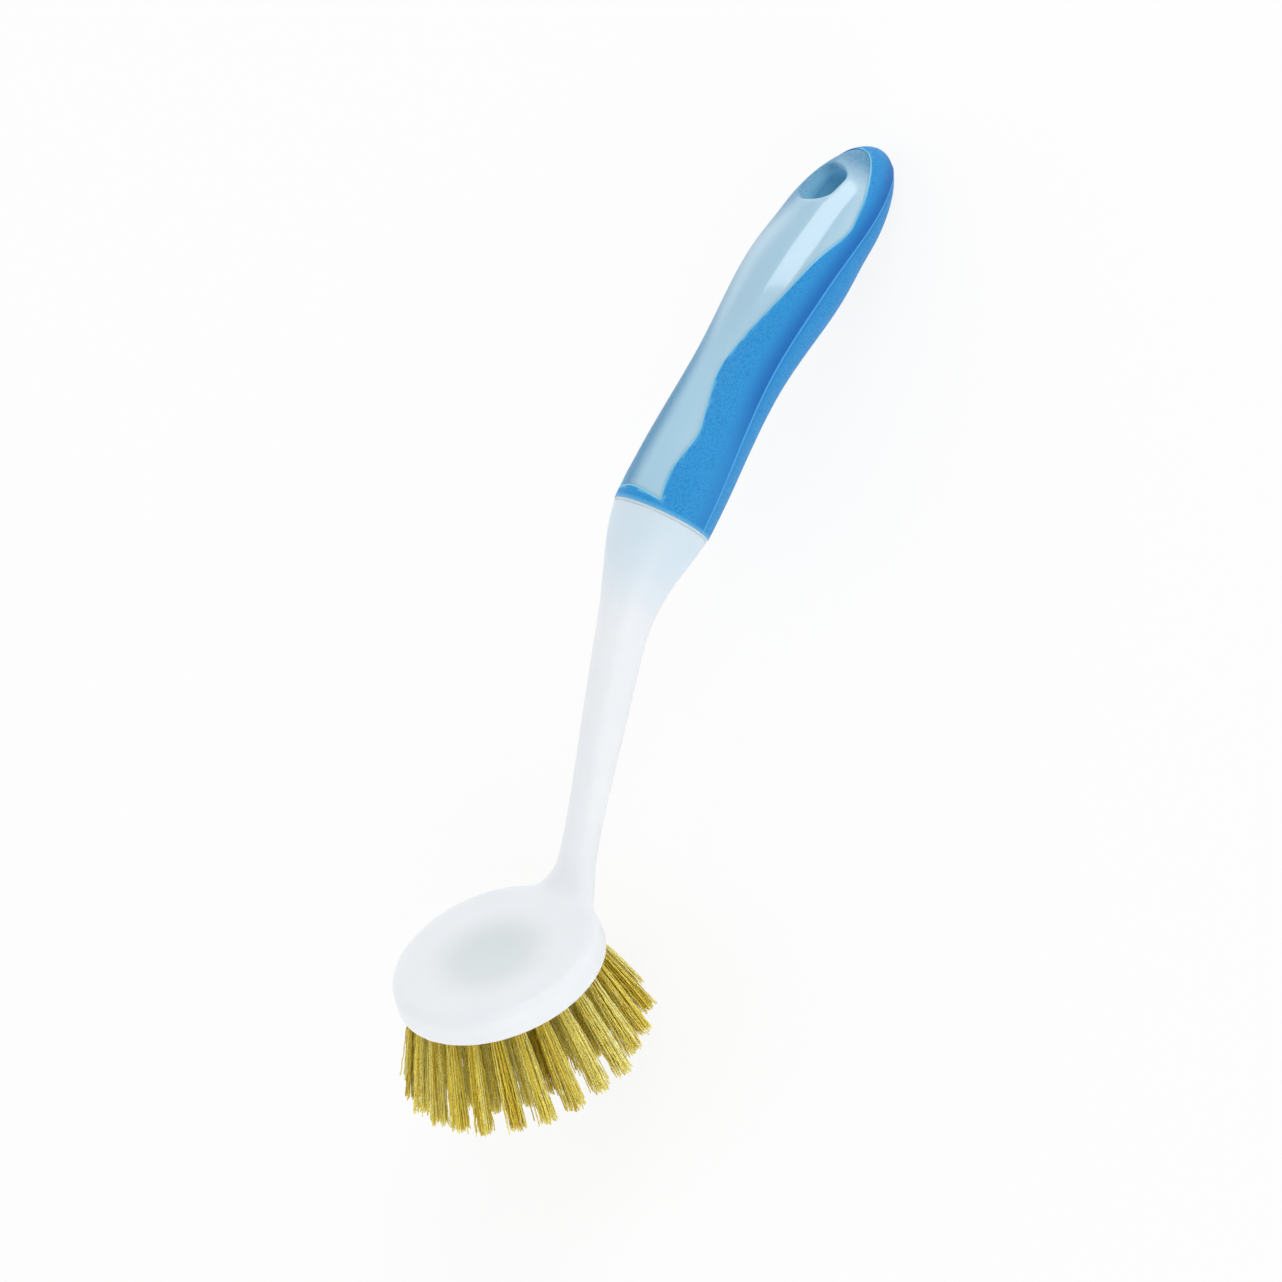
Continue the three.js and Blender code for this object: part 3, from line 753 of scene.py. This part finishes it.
def make_head(body):
    """The oval head, where it lies at rest."""
    ratio = body.head_width / body.head_length
    rings = []
    for radius, height in head_profile(body):
        rings.append([
            PLACING @ Vector((radius * math.cos(turn), radius * ratio * math.sin(turn), height))
            for turn in full_turn(HEAD_SIDES)
        ])
    return ring_loft("head", rings, pointed=True)


def oval(along, half_width, half_height, sides):
    """A ring of points across the straight spine."""
    return [
        Vector((along, half_width * math.cos(turn), half_height * math.sin(turn)))
        for turn in full_turn(sides)
    ]


def make_neck(body):
    """The neck with its collar and the tang that goes into the handle."""
    width = value_curve(NECK_SHARES, body.half_widths)
    height = value_curve(NECK_SHARES, body.half_heights)
    edge = body.collar_edge
    rings = []
    for step in range(NECK_STEPS):
        share = step / NECK_STEPS
        rings.append(oval(share * NECK_END, width(share), height(share), NECK_SIDES))
    collar = body.half_widths[-1]
    for back, inset in COLLAR_ROUNDING:
        radius = collar - inset * edge
        rings.append(oval(NECK_END - back * edge, radius, radius, NECK_SIDES))
    for share in TANG_SHARES:
        radius = mix(body.tang_root, body.tang_end, share)
        rings.append(oval(NECK_END + share * body.tang_length, radius, radius, NECK_SIDES))
    neck = ring_loft("neck", rings)
    bend(neck)
    return neck


def foot_weight(point):
    """How much the body is smoothed at a point: most where the neck grows out of the head."""
    place = PLACING.inverted() @ point
    from_foot = Vector((place.x / MM - FOOT_X, place.y / MM / FOOT_STRETCH, place.z / MM - FOOT_Z))
    return fade(*FOOT_SPAN, from_foot.length)


def make_body(body):
    """Head and neck grown together into one smooth moulding."""
    head = make_head(body)
    neck = make_neck(body)
    take(head)
    neck.select_set(True)
    bpy.ops.object.join()
    head.name = "brush_body_moulding"
    apply_modifier(head, "REMESH", mode="VOXEL", voxel_size=BODY_VOXEL)
    apply_modifier(head, "SMOOTH", factor=0.5, iterations=BODY_PASSES)
    foot = head.vertex_groups.new(name="neck_foot")
    for corner in head.data.vertices:
        weight = foot_weight(corner.co)
        if weight > 0:
            foot.add([corner.index], weight, "REPLACE")
    apply_modifier(head, "SMOOTH", factor=0.5, iterations=FOOT_PASSES, vertex_group="neck_foot")
    finish_piece(head, white_plastic(body), "white_plastic", "brush_body", sharp=60)


# Grip and core

# The seam's bead: places across it, as shares of its half width, and how far they stand out
SEAM_BEAD = ((-1.0, 0.0), (-0.5, 0.75), (0.0, 1.0), (0.5, 0.75), (1.0, 0.0))
SEAM_LIMIT = 0.6

# How near to the handle's outline the tools reach, and how the window's points crowd towards the tip
OUTLINE_LIMIT = 0.985
WINDOW_CROWDING = 1.4

# Levels of the cutting tools, as how far out and how high above the surface they lie: in millimetres for the
# lips, and as shares of the flare and the depth for the mouth. The tools of the hole end at their feet
GRIP_LIP = ((0.0, -0.5), (0.05, -0.24), (0.17, -0.08), (0.42, 0.02), (1.2, 0.3))
HOLE_END_LIP = ((0.0, -0.8), (0.1, -0.3), (0.3, -0.06), (0.9, 0.2))
HOLE_MOUTH = ((0.0, -1.0), (0.12, -0.62), (0.38, -0.3), (0.75, -0.09), (1.25, 0.0), (2.2, 0.12))
HOLE_FOOT = -6 * MM
HOLE_END_FOOT = -5.9 * MM

# The core's ring next to the collar: its start, its inset, its reach under the grip and its step down
RING_START = -0.2 * MM
RING_INSET = 0.2 * MM
RING_UNDER = 0.1 * MM
RING_STEP = 0.05 * MM
SOCKET_START = -2 * MM

# Spans over which the grip's painted highlights on its lip and seam and its painted shade change
LIP_SPAN = (0.25 * MM, 0.6 * MM)
COLLAR_LIP_SPAN = (0.2 * MM, 0.9 * MM)
LIP_SIDE_SPAN = (-1 * MM, 2 * MM)
ARCH_SPAN = (5 * MM, 8 * MM)
SEAM_SPAN = (0.05 * MM, 0.35 * MM)
ABOVE_SEAM_SPAN = (0.2 * MM, 8 * MM)
BELOW_SEAM_SPAN = (0.2 * MM, 3 * MM)
SHADE_SPAN = (15 * MM, 45 * MM)

# Spans over which the core's painted shade, painted highlight and painted light change, and its gloss
LOW_FLANK_SPAN = (20 * MM, 80 * MM)
TOP_FLANK_SPAN = (14 * MM, 42 * MM)
TIP_SPAN = (7 * MM, 17 * MM)
GLOSS_SPAN = (36 * MM, 60 * MM)
RING_SPAN = (1 * MM, 1.5 * MM)
HOLE_DEPTH_SPAN = (0.5 * MM, 4 * MM)
HOLE_EDGE_SPAN = (0.1 * MM, 0.9 * MM)

# Distances from the tip past which the handle's sizes stay the same for the painted seam highlight and the
# painted shade
GRIP_TINT_END = 3 * MM
CORE_TINT_END = 5 * MM


class HandleShape:
    """The straight handle's sizes at any place along it."""

    def __init__(self, handle):
        self.handle = handle
        self.wide = value_curve(HANDLE_SHARES, handle.half_widths)
        self.high = value_curve(HANDLE_SHARES, handle.half_heights)
        self.seam = value_curve(HANDLE_SHARES, handle.seam_rises)
        self.window = value_curve(WINDOW_SHARES, handle.window_near_widths)
        self.window_far = value_curve(WINDOW_SHARES, handle.window_far_widths)

    def half_sizes(self, along, inset=0.0):
        """Half width and half height of the handle, drawn in by an inset."""
        share = along / HANDLE_LENGTH
        into_nose = max(0, (along - HANDLE_LENGTH + self.handle.nose) / (self.handle.nose - inset))
        nose = math.sqrt(max(0.0, 1 - into_nose * into_nose))
        return (self.wide(share) - inset) * nose, (self.high(share) - inset) * nose

    def stations(self, begin, inset=0.0):
        """Places along the handle, closer together towards the tip."""
        nose_start = HANDLE_LENGTH - self.handle.nose
        places = [mix(begin, nose_start, step / GRIP_STEPS) for step in range(GRIP_STEPS)]
        for step in range(NOSE_STEPS):
            turn = math.pi / 2 * step / NOSE_STEPS
            places.append(nose_start + (self.handle.nose - inset) * math.sin(turn))
        return places

    def loft(self, name, begin, inset, sides):
        """A solid of the handle's form, drawn in by an inset."""
        places = self.stations(begin, inset)
        rings = [oval(along, *self.half_sizes(along, inset), sides) for along in places]
        return ring_loft(name, rings, pointed=True)

    def seam_turn(self, along):
        """The turn from the top of the handle down to its seam."""
        height = self.half_sizes(along)[1]
        share = self.seam(along / HANDLE_LENGTH) / height
        return math.acos(min(SEAM_LIMIT, max(-SEAM_LIMIT, share)))

    def grip_ring(self, along, inset=0.0):
        """A ring of the grip's outside with the bead of its seam on both sides."""
        width, height = self.half_sizes(along)
        width -= inset
        height -= inset
        seam = self.seam_turn(along)
        half = self.handle.seam_half_width / width
        far_seam = 2 * math.pi - seam
        turns = []
        for step in range(1, UPPER_STEPS):
            turns.append((mix(-seam + half, seam - half, step / UPPER_STEPS), 0.0))
        turns += [(seam + place * half, out) for place, out in SEAM_BEAD]
        for step in range(1, LOWER_STEPS):
            turns.append((mix(seam + half, far_seam - half, step / LOWER_STEPS), 0.0))
        turns += [(far_seam + place * half, out) for place, out in SEAM_BEAD]
        ring = []
        for turn, out in turns:
            spread = width + out * self.handle.seam_height * min(1, width / self.handle.wall / 2)
            ring.append(Vector((along, spread * math.sin(turn), height * math.cos(turn))))
        return ring

    def on_surface(self, along, across, above, inset=0.0, side=1):
        """A point above the handle's top, or below its underside, at a place seen from above."""
        width, height = self.half_sizes(along, inset)
        share = min(OUTLINE_LIMIT, max(-OUTLINE_LIMIT, across / max(width, MM)))
        rise = math.sqrt(1 - share * share)
        out = Vector((0, share / max(width, MM), rise / max(height, MM))).normalized()
        point = Vector((along, share * width, rise * height)) + out * above
        point.z *= side
        return point

    def window_outline(self):
        """The window's outline seen from above, from the arch round to the arch again."""
        begin = self.handle.window_start
        end = HANDLE_LENGTH - self.handle.window_margin
        shares = [1 - (1 - step / WINDOW_STEPS) ** WINDOW_CROWDING for step in range(WINDOW_STEPS + 1)]
        far_side = [
            Vector((mix(begin, end, share), max(0.0, self.window_far(share))))
            for share in shares
        ]
        near_side = [
            Vector((mix(begin, end, share), -max(0.0, self.window(share))))
            for share in shares[-2::-1]
        ]
        crown = Vector((begin + 2 * self.handle.window_arch, 0))
        arch = arc_points(near_side[-1], crown, far_side[0], ARCH_STEPS)[:-1]
        return far_side + near_side + arch

    def slot_outline(self, margin):
        """The hanging hole's outline seen from above, grown by a margin."""
        radius = self.handle.hole_width / 2 + margin
        reach = (self.handle.hole_length - self.handle.hole_width) / 2
        middle = HANDLE_LENGTH - self.handle.hole_from_tip
        points = []
        for end in (1, -1):
            for step in range(SLOT_STEPS + 1):
                turn = math.pi * (step / SLOT_STEPS - 0.5 * end)
                along = middle + end * reach + radius * math.cos(turn)
                points.append(Vector((along, radius * math.sin(turn))))
        return points

    def cutter(self, name, outline, base, levels, inset=0.0, side=1, foot=None):
        """A tool that stands on an outline, or on a foot, and widens at the surface level by level."""
        outward = outline_normals(outline)
        rings = [[Vector((point.x, point.y, base * side)) for point in foot or outline]]
        for out, above in levels:
            rings.append([
                self.on_surface(*(point + normal * out), above, inset, side)
                for point, normal in zip(outline, outward)
            ])
        rings.append([Vector((point.x, point.y, FAR * side)) for point in rings[-1]])
        return ring_loft(name, rings)


def outline_normals(outline):
    """Directions that point out of a closed outline that runs either way round."""
    count = len(outline)
    area = sum(outline[i - 1].x * outline[i].y - outline[i].x * outline[i - 1].y for i in range(count))
    way = 1 if area > 0 else -1
    normals = []
    for i in range(count):
        run = (outline[(i + 1) % count] - outline[i - 1]).normalized()
        normals.append(Vector((run.y, -run.x)) * way)
    return normals


def scaled(levels, out, above):
    """The levels of a tool at their full size."""
    return [(far * out, high * above) for far, high in levels]


def make_grip(handle, shape):
    """The soft grip with its window, seams and the opening under the hanging hole, still straight."""
    edge = handle.collar_edge
    rings = [shape.grip_ring(handle.gap, edge), shape.grip_ring(handle.gap + 0.3 * edge, 0.3 * edge)]
    rings += [shape.grip_ring(along) for along in shape.stations(handle.gap + edge)]
    grip = ring_loft("soft_grip_moulding", rings, pointed=True)
    cut(grip, shape.loft("cavity", -handle.wall, handle.wall, CAVITY_SIDES))
    lip = scaled(GRIP_LIP, MM, MM)
    window = shape.window_outline()
    cut(grip, shape.cutter("window_tool", window, 0.0, lip))
    rim = shape.slot_outline(handle.hole_rim)
    cut(grip, shape.cutter("rim_tool", rim, 0.0, lip, side=-1))
    clean(grip)
    line = KDTree(EDGE_PARTS * len(window))
    for number, point in enumerate(window):
        for part in range(EDGE_PARTS):
            spot = window[number - 1].lerp(point, part / EDGE_PARTS)
            line.insert(shape.on_surface(spot.x, spot.y, 0.0), EDGE_PARTS * number + part)
    line.balance()

    # Painted highlight: strong on the near side of the window and at its arch, faint on the far side, and a
    # line at the collar
    def lip_highlight_value(point):
        near_line = fade(*LIP_SPAN, line.find(point)[2]) if point.z > 0 else 0
        at_collar = fade(*COLLAR_LIP_SPAN, point.x - handle.gap)
        near_side = max(fade(*LIP_SIDE_SPAN, point.y), fade(*ARCH_SPAN, point.x))
        return max(mix(0.1, 0.9, near_side) * near_line, 0.35 * at_collar)

    def below_seam(point):
        along = min(point.x, HANDLE_LENGTH - GRIP_TINT_END)
        width, height = shape.half_sizes(along)
        turn = math.atan2(abs(point.y) / width, point.z / height)
        return (turn - shape.seam_turn(along)) * width

    # Painted highlight: a thin lighter line along the seam
    def seam_highlight_value(point):
        return fade(*SEAM_SPAN, abs(below_seam(point)))

    # Painted shade: darker above the seam and just below it, more so towards the tip
    def shade_value(point):
        below = below_seam(point)
        shade = fade(*ABOVE_SEAM_SPAN, -below) if below < 0 else 0.45 * fade(*BELOW_SEAM_SPAN, below)
        return shade * mix(0.45, 1, ease(*SHADE_SPAN, point.x))

    store_values(grip, lip=lip_highlight_value, seam=seam_highlight_value, shade=shade_value)
    return grip


def make_core(handle, body, shape, grip):
    """The clear core, still straight: it fills the grip, its window and the rim of the hanging hole."""
    step = handle.gap + RING_UNDER
    inset = handle.window_step
    places = [(RING_START, RING_INSET), (step, RING_INSET)]
    places += [(along, inset) for along in shape.stations(step + RING_STEP, inset)]
    rings = [oval(along, *shape.half_sizes(along, drawn_in), PANE_SIDES) for along, drawn_in in places]
    core = ring_loft("handle_core_moulding", rings, pointed=True)
    cut(core, grip, keep_tool=True)
    rings = []
    for share in TANG_SHARES:
        radius = mix(body.tang_root, body.tang_end, share) + handle.fit
        rings.append(oval(mix(SOCKET_START, body.tang_length, share), radius, radius, SOCKET_SIDES))
    cut(core, ring_loft("socket", rings))
    mouth = scaled(HOLE_MOUTH, handle.mouth_flare, handle.mouth_depth)
    slot = shape.slot_outline(0.0)
    widen = 1 + 2 * handle.hole_near / handle.hole_width
    opening = [Vector((point.x, point.y * (widen if point.y < 0 else 1))) for point in slot]
    cut(core, shape.cutter("hole_tool", opening, HOLE_FOOT, mouth, inset, foot=slot))
    under = scaled(HOLE_END_LIP, MM, MM)
    cut(core, shape.cutter("hole_end_tool", slot, HOLE_END_FOOT, under, inset, side=-1))
    clean(core)

    # Painted shade: a band along the far flank, wider low down and near the tip, and most of the tip
    def flank_shade_value(point):
        width, height = shape.half_sizes(min(point.x, HANDLE_LENGTH - CORE_TINT_END))
        turn = math.degrees(math.atan2(point.y / width, point.z / height))
        from_tip = HANDLE_LENGTH - point.x
        low = fade(*LOW_FLANK_SPAN, point.x)
        top = fade(*TOP_FLANK_SPAN, from_tip)
        begin = mix(mix(4, -10, low), -25, top)
        full = mix(36, 17, max(low, top))
        band = mix(0.65, 0.95, max(low, top)) * ease(begin, full, turn)
        return max(band, 0.95 * fade(*TIP_SPAN, from_tip))

    def gloss_value(point):
        return ease(*GLOSS_SPAN, point.x) * (1 - flank_shade_value(point))

    # Painted highlight: lighter in the first millimetre next to the collar
    def ring_highlight_value(point):
        return fade(*RING_SPAN, point.x)

    # Painted light: brighter and bluer on the hole's walls below its mouth
    def hole_light_value(point):
        middle = HANDLE_LENGTH - handle.hole_from_tip
        reach = (handle.hole_length - handle.hole_width) / 2
        across = point.y / (widen if point.y < 0 else 1)
        past_end = max(0, abs(point.x - middle) - reach)
        beside = Vector((past_end, across)).length - handle.hole_width / 2
        surface = shape.half_sizes(point.x, inset)[1]
        deep = ease(*HOLE_DEPTH_SPAN, surface - point.z)
        return deep * fade(*HOLE_EDGE_SPAN, beside)

    store_values(core, flank=flank_shade_value, gloss=gloss_value, ring=ring_highlight_value, hole=hole_light_value)
    return core


def make_handle(handle, body):
    """The grip, and the core cut to fit it."""
    shape = HandleShape(handle)
    grip = make_grip(handle, shape)
    core = make_core(handle, body, shape, grip)
    for piece in (grip, core):
        bend_handle_piece(piece)
    finish_piece(grip, blue_rubber(handle), "blue_rubber", "soft_grip")
    finish_piece(core, clear_plastic(handle), "clear_plastic", "handle_core")


# Wire tufts

TABLE_GAP = 0.12 * MM
HEEL_SPAN = (0.6, 1)
GOLDEN_TURN = math.pi * (3 - math.sqrt(5))

# How the wires of a tuft differ in turn, stray, shortness, bow and crimp, and the tufts and wires in tone
TURN_SPREAD = 0.4
STRAY = 0.5 * MM
SHORT_POWER = 1.6
BOW_SPREAD = 0.5
CRIMP_SPAN = (0.05, 0.25)
CRIMP_SPREAD = (0.4, 1.3)
TUFT_TONES = (-0.45, 0.2)
WIRE_TONE = 0.76
TONE_SPREAD = 0.36


def tuft_frames(bristles, body, ring, draw):
    """Root, axis, tangent and reach of each tuft of a ring, with the head level."""
    step = (bristles.outer_radius - bristles.centre_radius) / (len(RINGS) - 1)
    radius = bristles.outer_radius - ring * step
    ratio = body.head_width / body.head_length
    count = bristles.counts[ring]
    stagger = 0.5 if ring % 2 == 0 else 0
    frames = []
    for number in range(count):
        turn = 2 * math.pi * (number + stagger) / count
        outward = Vector((math.cos(turn), math.sin(turn), 0))
        root = Vector((outward.x * radius, outward.y * radius * ratio, -body.head_thickness))
        heel = ease(*HEEL_SPAN, outward.x) * bristles.splay[ring] / bristles.splay[0]
        splay = bristles.splay[ring] + heel * bristles.heel_splay
        axis = outward * math.tan(splay) + Vector((-math.tan(bristles.lean), 0, -1))
        axis += Vector((draw.gauss(0, 1), draw.gauss(0, 1), 0)) * bristles.jitter
        axis.normalize()
        tangent = Vector((-outward.y, outward.x, 0))
        tangent = (tangent - axis * tangent.dot(axis)).normalized()
        frames.append((root, axis, tangent, bristles.reach - heel * bristles.heel_trim))
    return frames


def wire_points(bristles, frame_of_tuft, draw, number):
    """Points of one crimped wire at rest on the table."""
    root, axis, tangent, longest = frame_of_tuft
    across = axis.cross(tangent)
    out = math.sqrt((number + 0.5) / bristles.wires)
    turn = number * GOLDEN_TURN + draw.uniform(-TURN_SPREAD, TURN_SPREAD)
    offset = tangent * (out * math.cos(turn)) + across * (out * math.sin(turn))
    stray = tangent * draw.gauss(0, STRAY) + across * draw.gauss(0, STRAY)
    reach = longest - bristles.unevenness * draw.random() ** SHORT_POWER
    start = PLACING @ (root + offset * bristles.root_radius - axis * bristles.embed)
    end = PLACING @ (root + axis * (reach / -axis.z) + offset * bristles.tip_radius + stray)
    if end.z < TABLE_GAP:
        end = start.lerp(end, (start.z - TABLE_GAP) / (start.z - end.z))
    run = (end - start).normalized()
    swing = run.orthogonal().normalized()
    swing.rotate(Matrix.Rotation(draw.uniform(0, 2 * math.pi), 3, run))
    bow = run.cross(swing) * draw.uniform(-BOW_SPREAD, BOW_SPREAD) * MM
    points = []
    for step in range(WIRE_STEPS + 1):
        share = step / WIRE_STEPS
        side = 1 if step % 2 else -1
        kink = bristles.crimp * ease(*CRIMP_SPAN, share) * side * draw.uniform(*CRIMP_SPREAD)
        point = start.lerp(end, share) + swing * kink + bow * math.sin(math.pi * share)
        point.z = max(point.z, TABLE_GAP)
        points.append(point)
    return points


def wire_section(radius):
    """The three-sided section of a wire."""
    corners = [(radius * math.cos(turn), radius * math.sin(turn), 0) for turn in full_turn(WIRE_SIDES)]
    return curve_piece("wire_section", [corners], closed=True)


def close_ends(piece):
    """Closes both ends of each wire and turns its faces outwards."""
    take(piece)
    bpy.ops.object.mode_set(mode="EDIT")
    bpy.ops.mesh.select_all(action="SELECT")
    bpy.ops.mesh.fill_holes(sides=WIRE_SIDES)
    bpy.ops.mesh.select_all(action="SELECT")
    bpy.ops.mesh.normals_make_consistent(inside=False)
    bpy.ops.object.mode_set(mode="OBJECT")


def make_tuft_ring(bristles, body, ring, section, material):
    """All wires of one ring of tufts, as one mesh."""
    name = RINGS[ring]
    draw = random.Random(bristles.seed + ring)
    wires = []
    tones = []
    for tuft in tuft_frames(bristles, body, ring, draw):
        shade = draw.uniform(*TUFT_TONES)
        for number in range(bristles.wires):
            wires.append(wire_points(bristles, tuft, draw, number))
            tones.append(min(1, max(0, draw.gauss(WIRE_TONE, TONE_SPREAD) + shade)))
    bevel = {"bevel_mode": "OBJECT", "bevel_object": section}
    take(curve_piece("wires_" + name, wires, dimensions="3D", **bevel))
    bpy.ops.object.convert(target="MESH")
    piece = bpy.context.object
    count = len(piece.data.vertices)
    per_wire = WIRE_SIDES * (WIRE_STEPS + 1)
    if count != per_wire * len(tones):
        raise RuntimeError("the wires of " + name + " have an unexpected count of corners")
    store_list(piece, "tone", [tones[corner // per_wire] for corner in range(count)])
    store_list(piece, "along", [corner % per_wire // WIRE_SIDES / WIRE_STEPS for corner in range(count)])
    close_ends(piece)
    finish_piece(piece, material, "brass_wire", "bristles_" + name, sharp=30)


def make_bristles(bristles, body):
    """All rings of tufts, and the finish of the anchors."""
    section = wire_section(bristles.wire_radius)
    material = brass_wire(bristles)
    for ring in range(len(RINGS)):
        make_tuft_ring(bristles, body, ring, section, material)
    drop(section)
    anchors = anchor_wire(bristles)
    for name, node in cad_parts.items():
        if name.startswith("anchor_"):
            node.data.materials.clear()
            node.data.materials.append(anchors)


# Stage

# The photograph's view: its right, its up and the way to the camera, with the head level
VIEW_RIGHT = Vector((0.6366, -0.7166, -0.2849))
VIEW_UP = Vector((0.6007, 0.2291, 0.7660))
VIEW_BACK = Vector((-0.4836, -0.6588, 0.5763))
VIEW_CENTRE = (38.85 * MM, 81.91 * MM, -10 * MM)
SENSOR_WIDTH = 36
CAMERA_REACH = 100
LIGHT_AIM = Vector((0.04, 0, 0.03))
SKY_SPAN = (0.12, 0.55)


def facing(right, up, back, place):
    """The placing of a camera or a light from its right, its up, the way to its back and its place."""
    matrix = Matrix((right, up, back)).transposed().to_4x4()
    matrix.translation = place
    return matrix


def make_camera(scene, stage):
    """A camera at the photograph's viewing angle."""
    turn = PLACING.to_3x3()
    right, up, back = [(turn @ axis).normalized() for axis in (VIEW_RIGHT, VIEW_UP, VIEW_BACK)]
    aim = REST_PLACE.copy()
    for axis, distance in zip((right, up, back), VIEW_CENTRE):
        aim += axis * distance
    deselect_all()
    bpy.ops.object.camera_add()
    camera = bpy.context.object
    camera.data.lens = stage.lens
    camera.data.sensor_width = SENSOR_WIDTH
    camera.data.clip_end = CAMERA_REACH
    camera.matrix_world = facing(right, up, back, aim + back * stage.distance)
    scene.camera = camera


def make_floor(stage):
    """A pale floor that shows white to the camera and keeps a soft shadow."""
    deselect_all()
    bpy.ops.mesh.primitive_plane_add(size=stage.floor_size)
    floor = bpy.context.object
    floor.name = "floor"
    finish = Finish("pale_floor")
    finish.look(Base_Color=(*stage.floor, 1), Roughness=0.9, Specular_IOR_Level=0.1)
    paths = finish.node("ShaderNodeLightPath").outputs
    seen = paths["Is Camera Ray"]
    for other in ("Is Glossy Ray", "Is Transmission Ray"):
        seen = finish.combine("MAXIMUM", seen, paths[other])
    lift = finish.combine("MULTIPLY", seen, 1 - stage.shadow)
    glow = finish.node("ShaderNodeEmission", {"Strength": 1.0}).outputs[0]
    mixed = finish.node("ShaderNodeMixShader", {0: lift, 1: finish.shader.outputs[0], 2: glow})
    finish.tree.links.new(mixed.outputs[0], finish.tree.nodes["Material Output"].inputs["Surface"])
    floor.data.materials.append(finish.material)


def make_world(scene, stage):
    """A room that is white round the horizon and dimmer overhead."""
    world = bpy.data.worlds.new("studio")
    world.use_nodes = True
    scene.world = world
    tree = world.node_tree
    coordinates = tree.nodes.new("ShaderNodeTexCoord")
    parts = tree.nodes.new("ShaderNodeSeparateXYZ")
    level = tree.nodes.new("ShaderNodeMapRange")
    light = tree.nodes["Background"]
    light.inputs["Color"].default_value = (1, 1, 1, 1)
    level.interpolation_type = "SMOOTHSTEP"
    for socket, value in enumerate((*SKY_SPAN, 1.0, stage.ambient), start=1):
        level.inputs[socket].default_value = value
    tree.links.new(coordinates.outputs["Generated"], parts.inputs[0])
    tree.links.new(parts.outputs["Z"], level.inputs[0])
    tree.links.new(level.outputs[0], light.inputs["Strength"])


def add_softbox(name, power, way, distance, across, size, mirrored=True):
    """An area light at a distance in some direction, with its width along another."""
    deselect_all()
    bpy.ops.object.light_add(type="AREA")
    lamp = bpy.context.object
    lamp.name = name
    lamp.data.shape = "RECTANGLE"
    lamp.data.size, lamp.data.size_y = size
    lamp.data.energy = power
    back = Vector(way).normalized()
    side = (Vector(across) - back * back.dot(Vector(across))).normalized()
    lamp.matrix_world = facing(side, back.cross(side), back, LIGHT_AIM + back * distance)
    lamp.visible_camera = False
    lamp.visible_glossy = mirrored


def make_stage(scene, stage):
    """Floor, world, lights and camera."""
    scene.view_settings.view_transform = "Standard"
    make_floor(stage)
    make_world(scene, stage)
    add_softbox(
        "key", stage.key_power, way=(0.77, -0.155, 0.62), distance=1.3,
        across=(-0.06, -0.98, -0.18), size=(0.95, 1.0))
    add_softbox(
        "fill", stage.fill_power, way=(-0.32, 0.68, 0.66), distance=1.5,
        across=(1, 0, 0), size=(1.6, 1.6), mirrored=False)
    add_softbox(
        "front", stage.front_power, way=(-0.68, -0.82, 0.5), distance=1.4,
        across=(0.8, -0.7, 0), size=(1.2, 1.2))
    make_camera(scene, stage)


# Operators


class STOVEBRUSH_OT_body(bpy.types.Operator):
    """Models the white head and neck"""

    bl_idname = "stovebrush.body"
    bl_label = "Head and neck"

    def execute(self, context):
        make_body(context.scene.stove_brush.body)
        return {"FINISHED"}


class STOVEBRUSH_OT_handle(bpy.types.Operator):
    """Models the blue soft grip and the clear core in its window"""

    bl_idname = "stovebrush.handle"
    bl_label = "Grip and core"

    def execute(self, context):
        brush = context.scene.stove_brush
        make_handle(brush.handle, brush.body)
        return {"FINISHED"}


class STOVEBRUSH_OT_bristles(bpy.types.Operator):
    """Models the four rings of wire tufts and finishes their anchors"""

    bl_idname = "stovebrush.bristles"
    bl_label = "Wire tufts"

    def execute(self, context):
        brush = context.scene.stove_brush
        make_bristles(brush.bristles, brush.body)
        return {"FINISHED"}


class STOVEBRUSH_OT_stage(bpy.types.Operator):
    """Sets up the floor, the lights and the camera"""

    bl_idname = "stovebrush.stage"
    bl_label = "Stage"

    def execute(self, context):
        make_stage(context.scene, context.scene.stove_brush.stage)
        return {"FINISHED"}


class STOVEBRUSH_PT_panel(bpy.types.Panel):
    """Lists the steps and settings of the stove brush"""

    bl_idname = "STOVEBRUSH_PT_panel"
    bl_label = "Stove brush"
    bl_space_type = "VIEW_3D"
    bl_region_type = "UI"
    bl_category = "Stove brush"

    def draw(self, context):
        brush = context.scene.stove_brush
        steps = (
            ("stovebrush.body", brush.body),
            ("stovebrush.handle", brush.handle),
            ("stovebrush.bristles", brush.bristles),
            ("stovebrush.stage", brush.stage),
        )
        for operator, settings in steps:
            box = self.layout.box()
            box.operator(operator)
            for name in settings.__annotations__:
                box.prop(settings, name)


CLASSES = (
    BodySettings,
    HandleSettings,
    BristleSettings,
    StageSettings,
    BrushSettings,
    STOVEBRUSH_OT_body,
    STOVEBRUSH_OT_handle,
    STOVEBRUSH_OT_bristles,
    STOVEBRUSH_OT_stage,
    STOVEBRUSH_PT_panel,
)


def register():
    """Registers the classes and the settings."""
    for item in CLASSES:
        bpy.utils.register_class(item)
    bpy.types.Scene.stove_brush = PointerProperty(type=BrushSettings)


def unregister():
    """Takes the settings and the classes out again."""
    del bpy.types.Scene.stove_brush
    for item in reversed(CLASSES):
        bpy.utils.unregister_class(item)


def main():
    """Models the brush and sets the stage."""
    register()
    bpy.ops.stovebrush.body()
    bpy.ops.stovebrush.handle()
    bpy.ops.stovebrush.bristles()
    bpy.ops.stovebrush.stage()


if __name__ == "__main__":
    main()
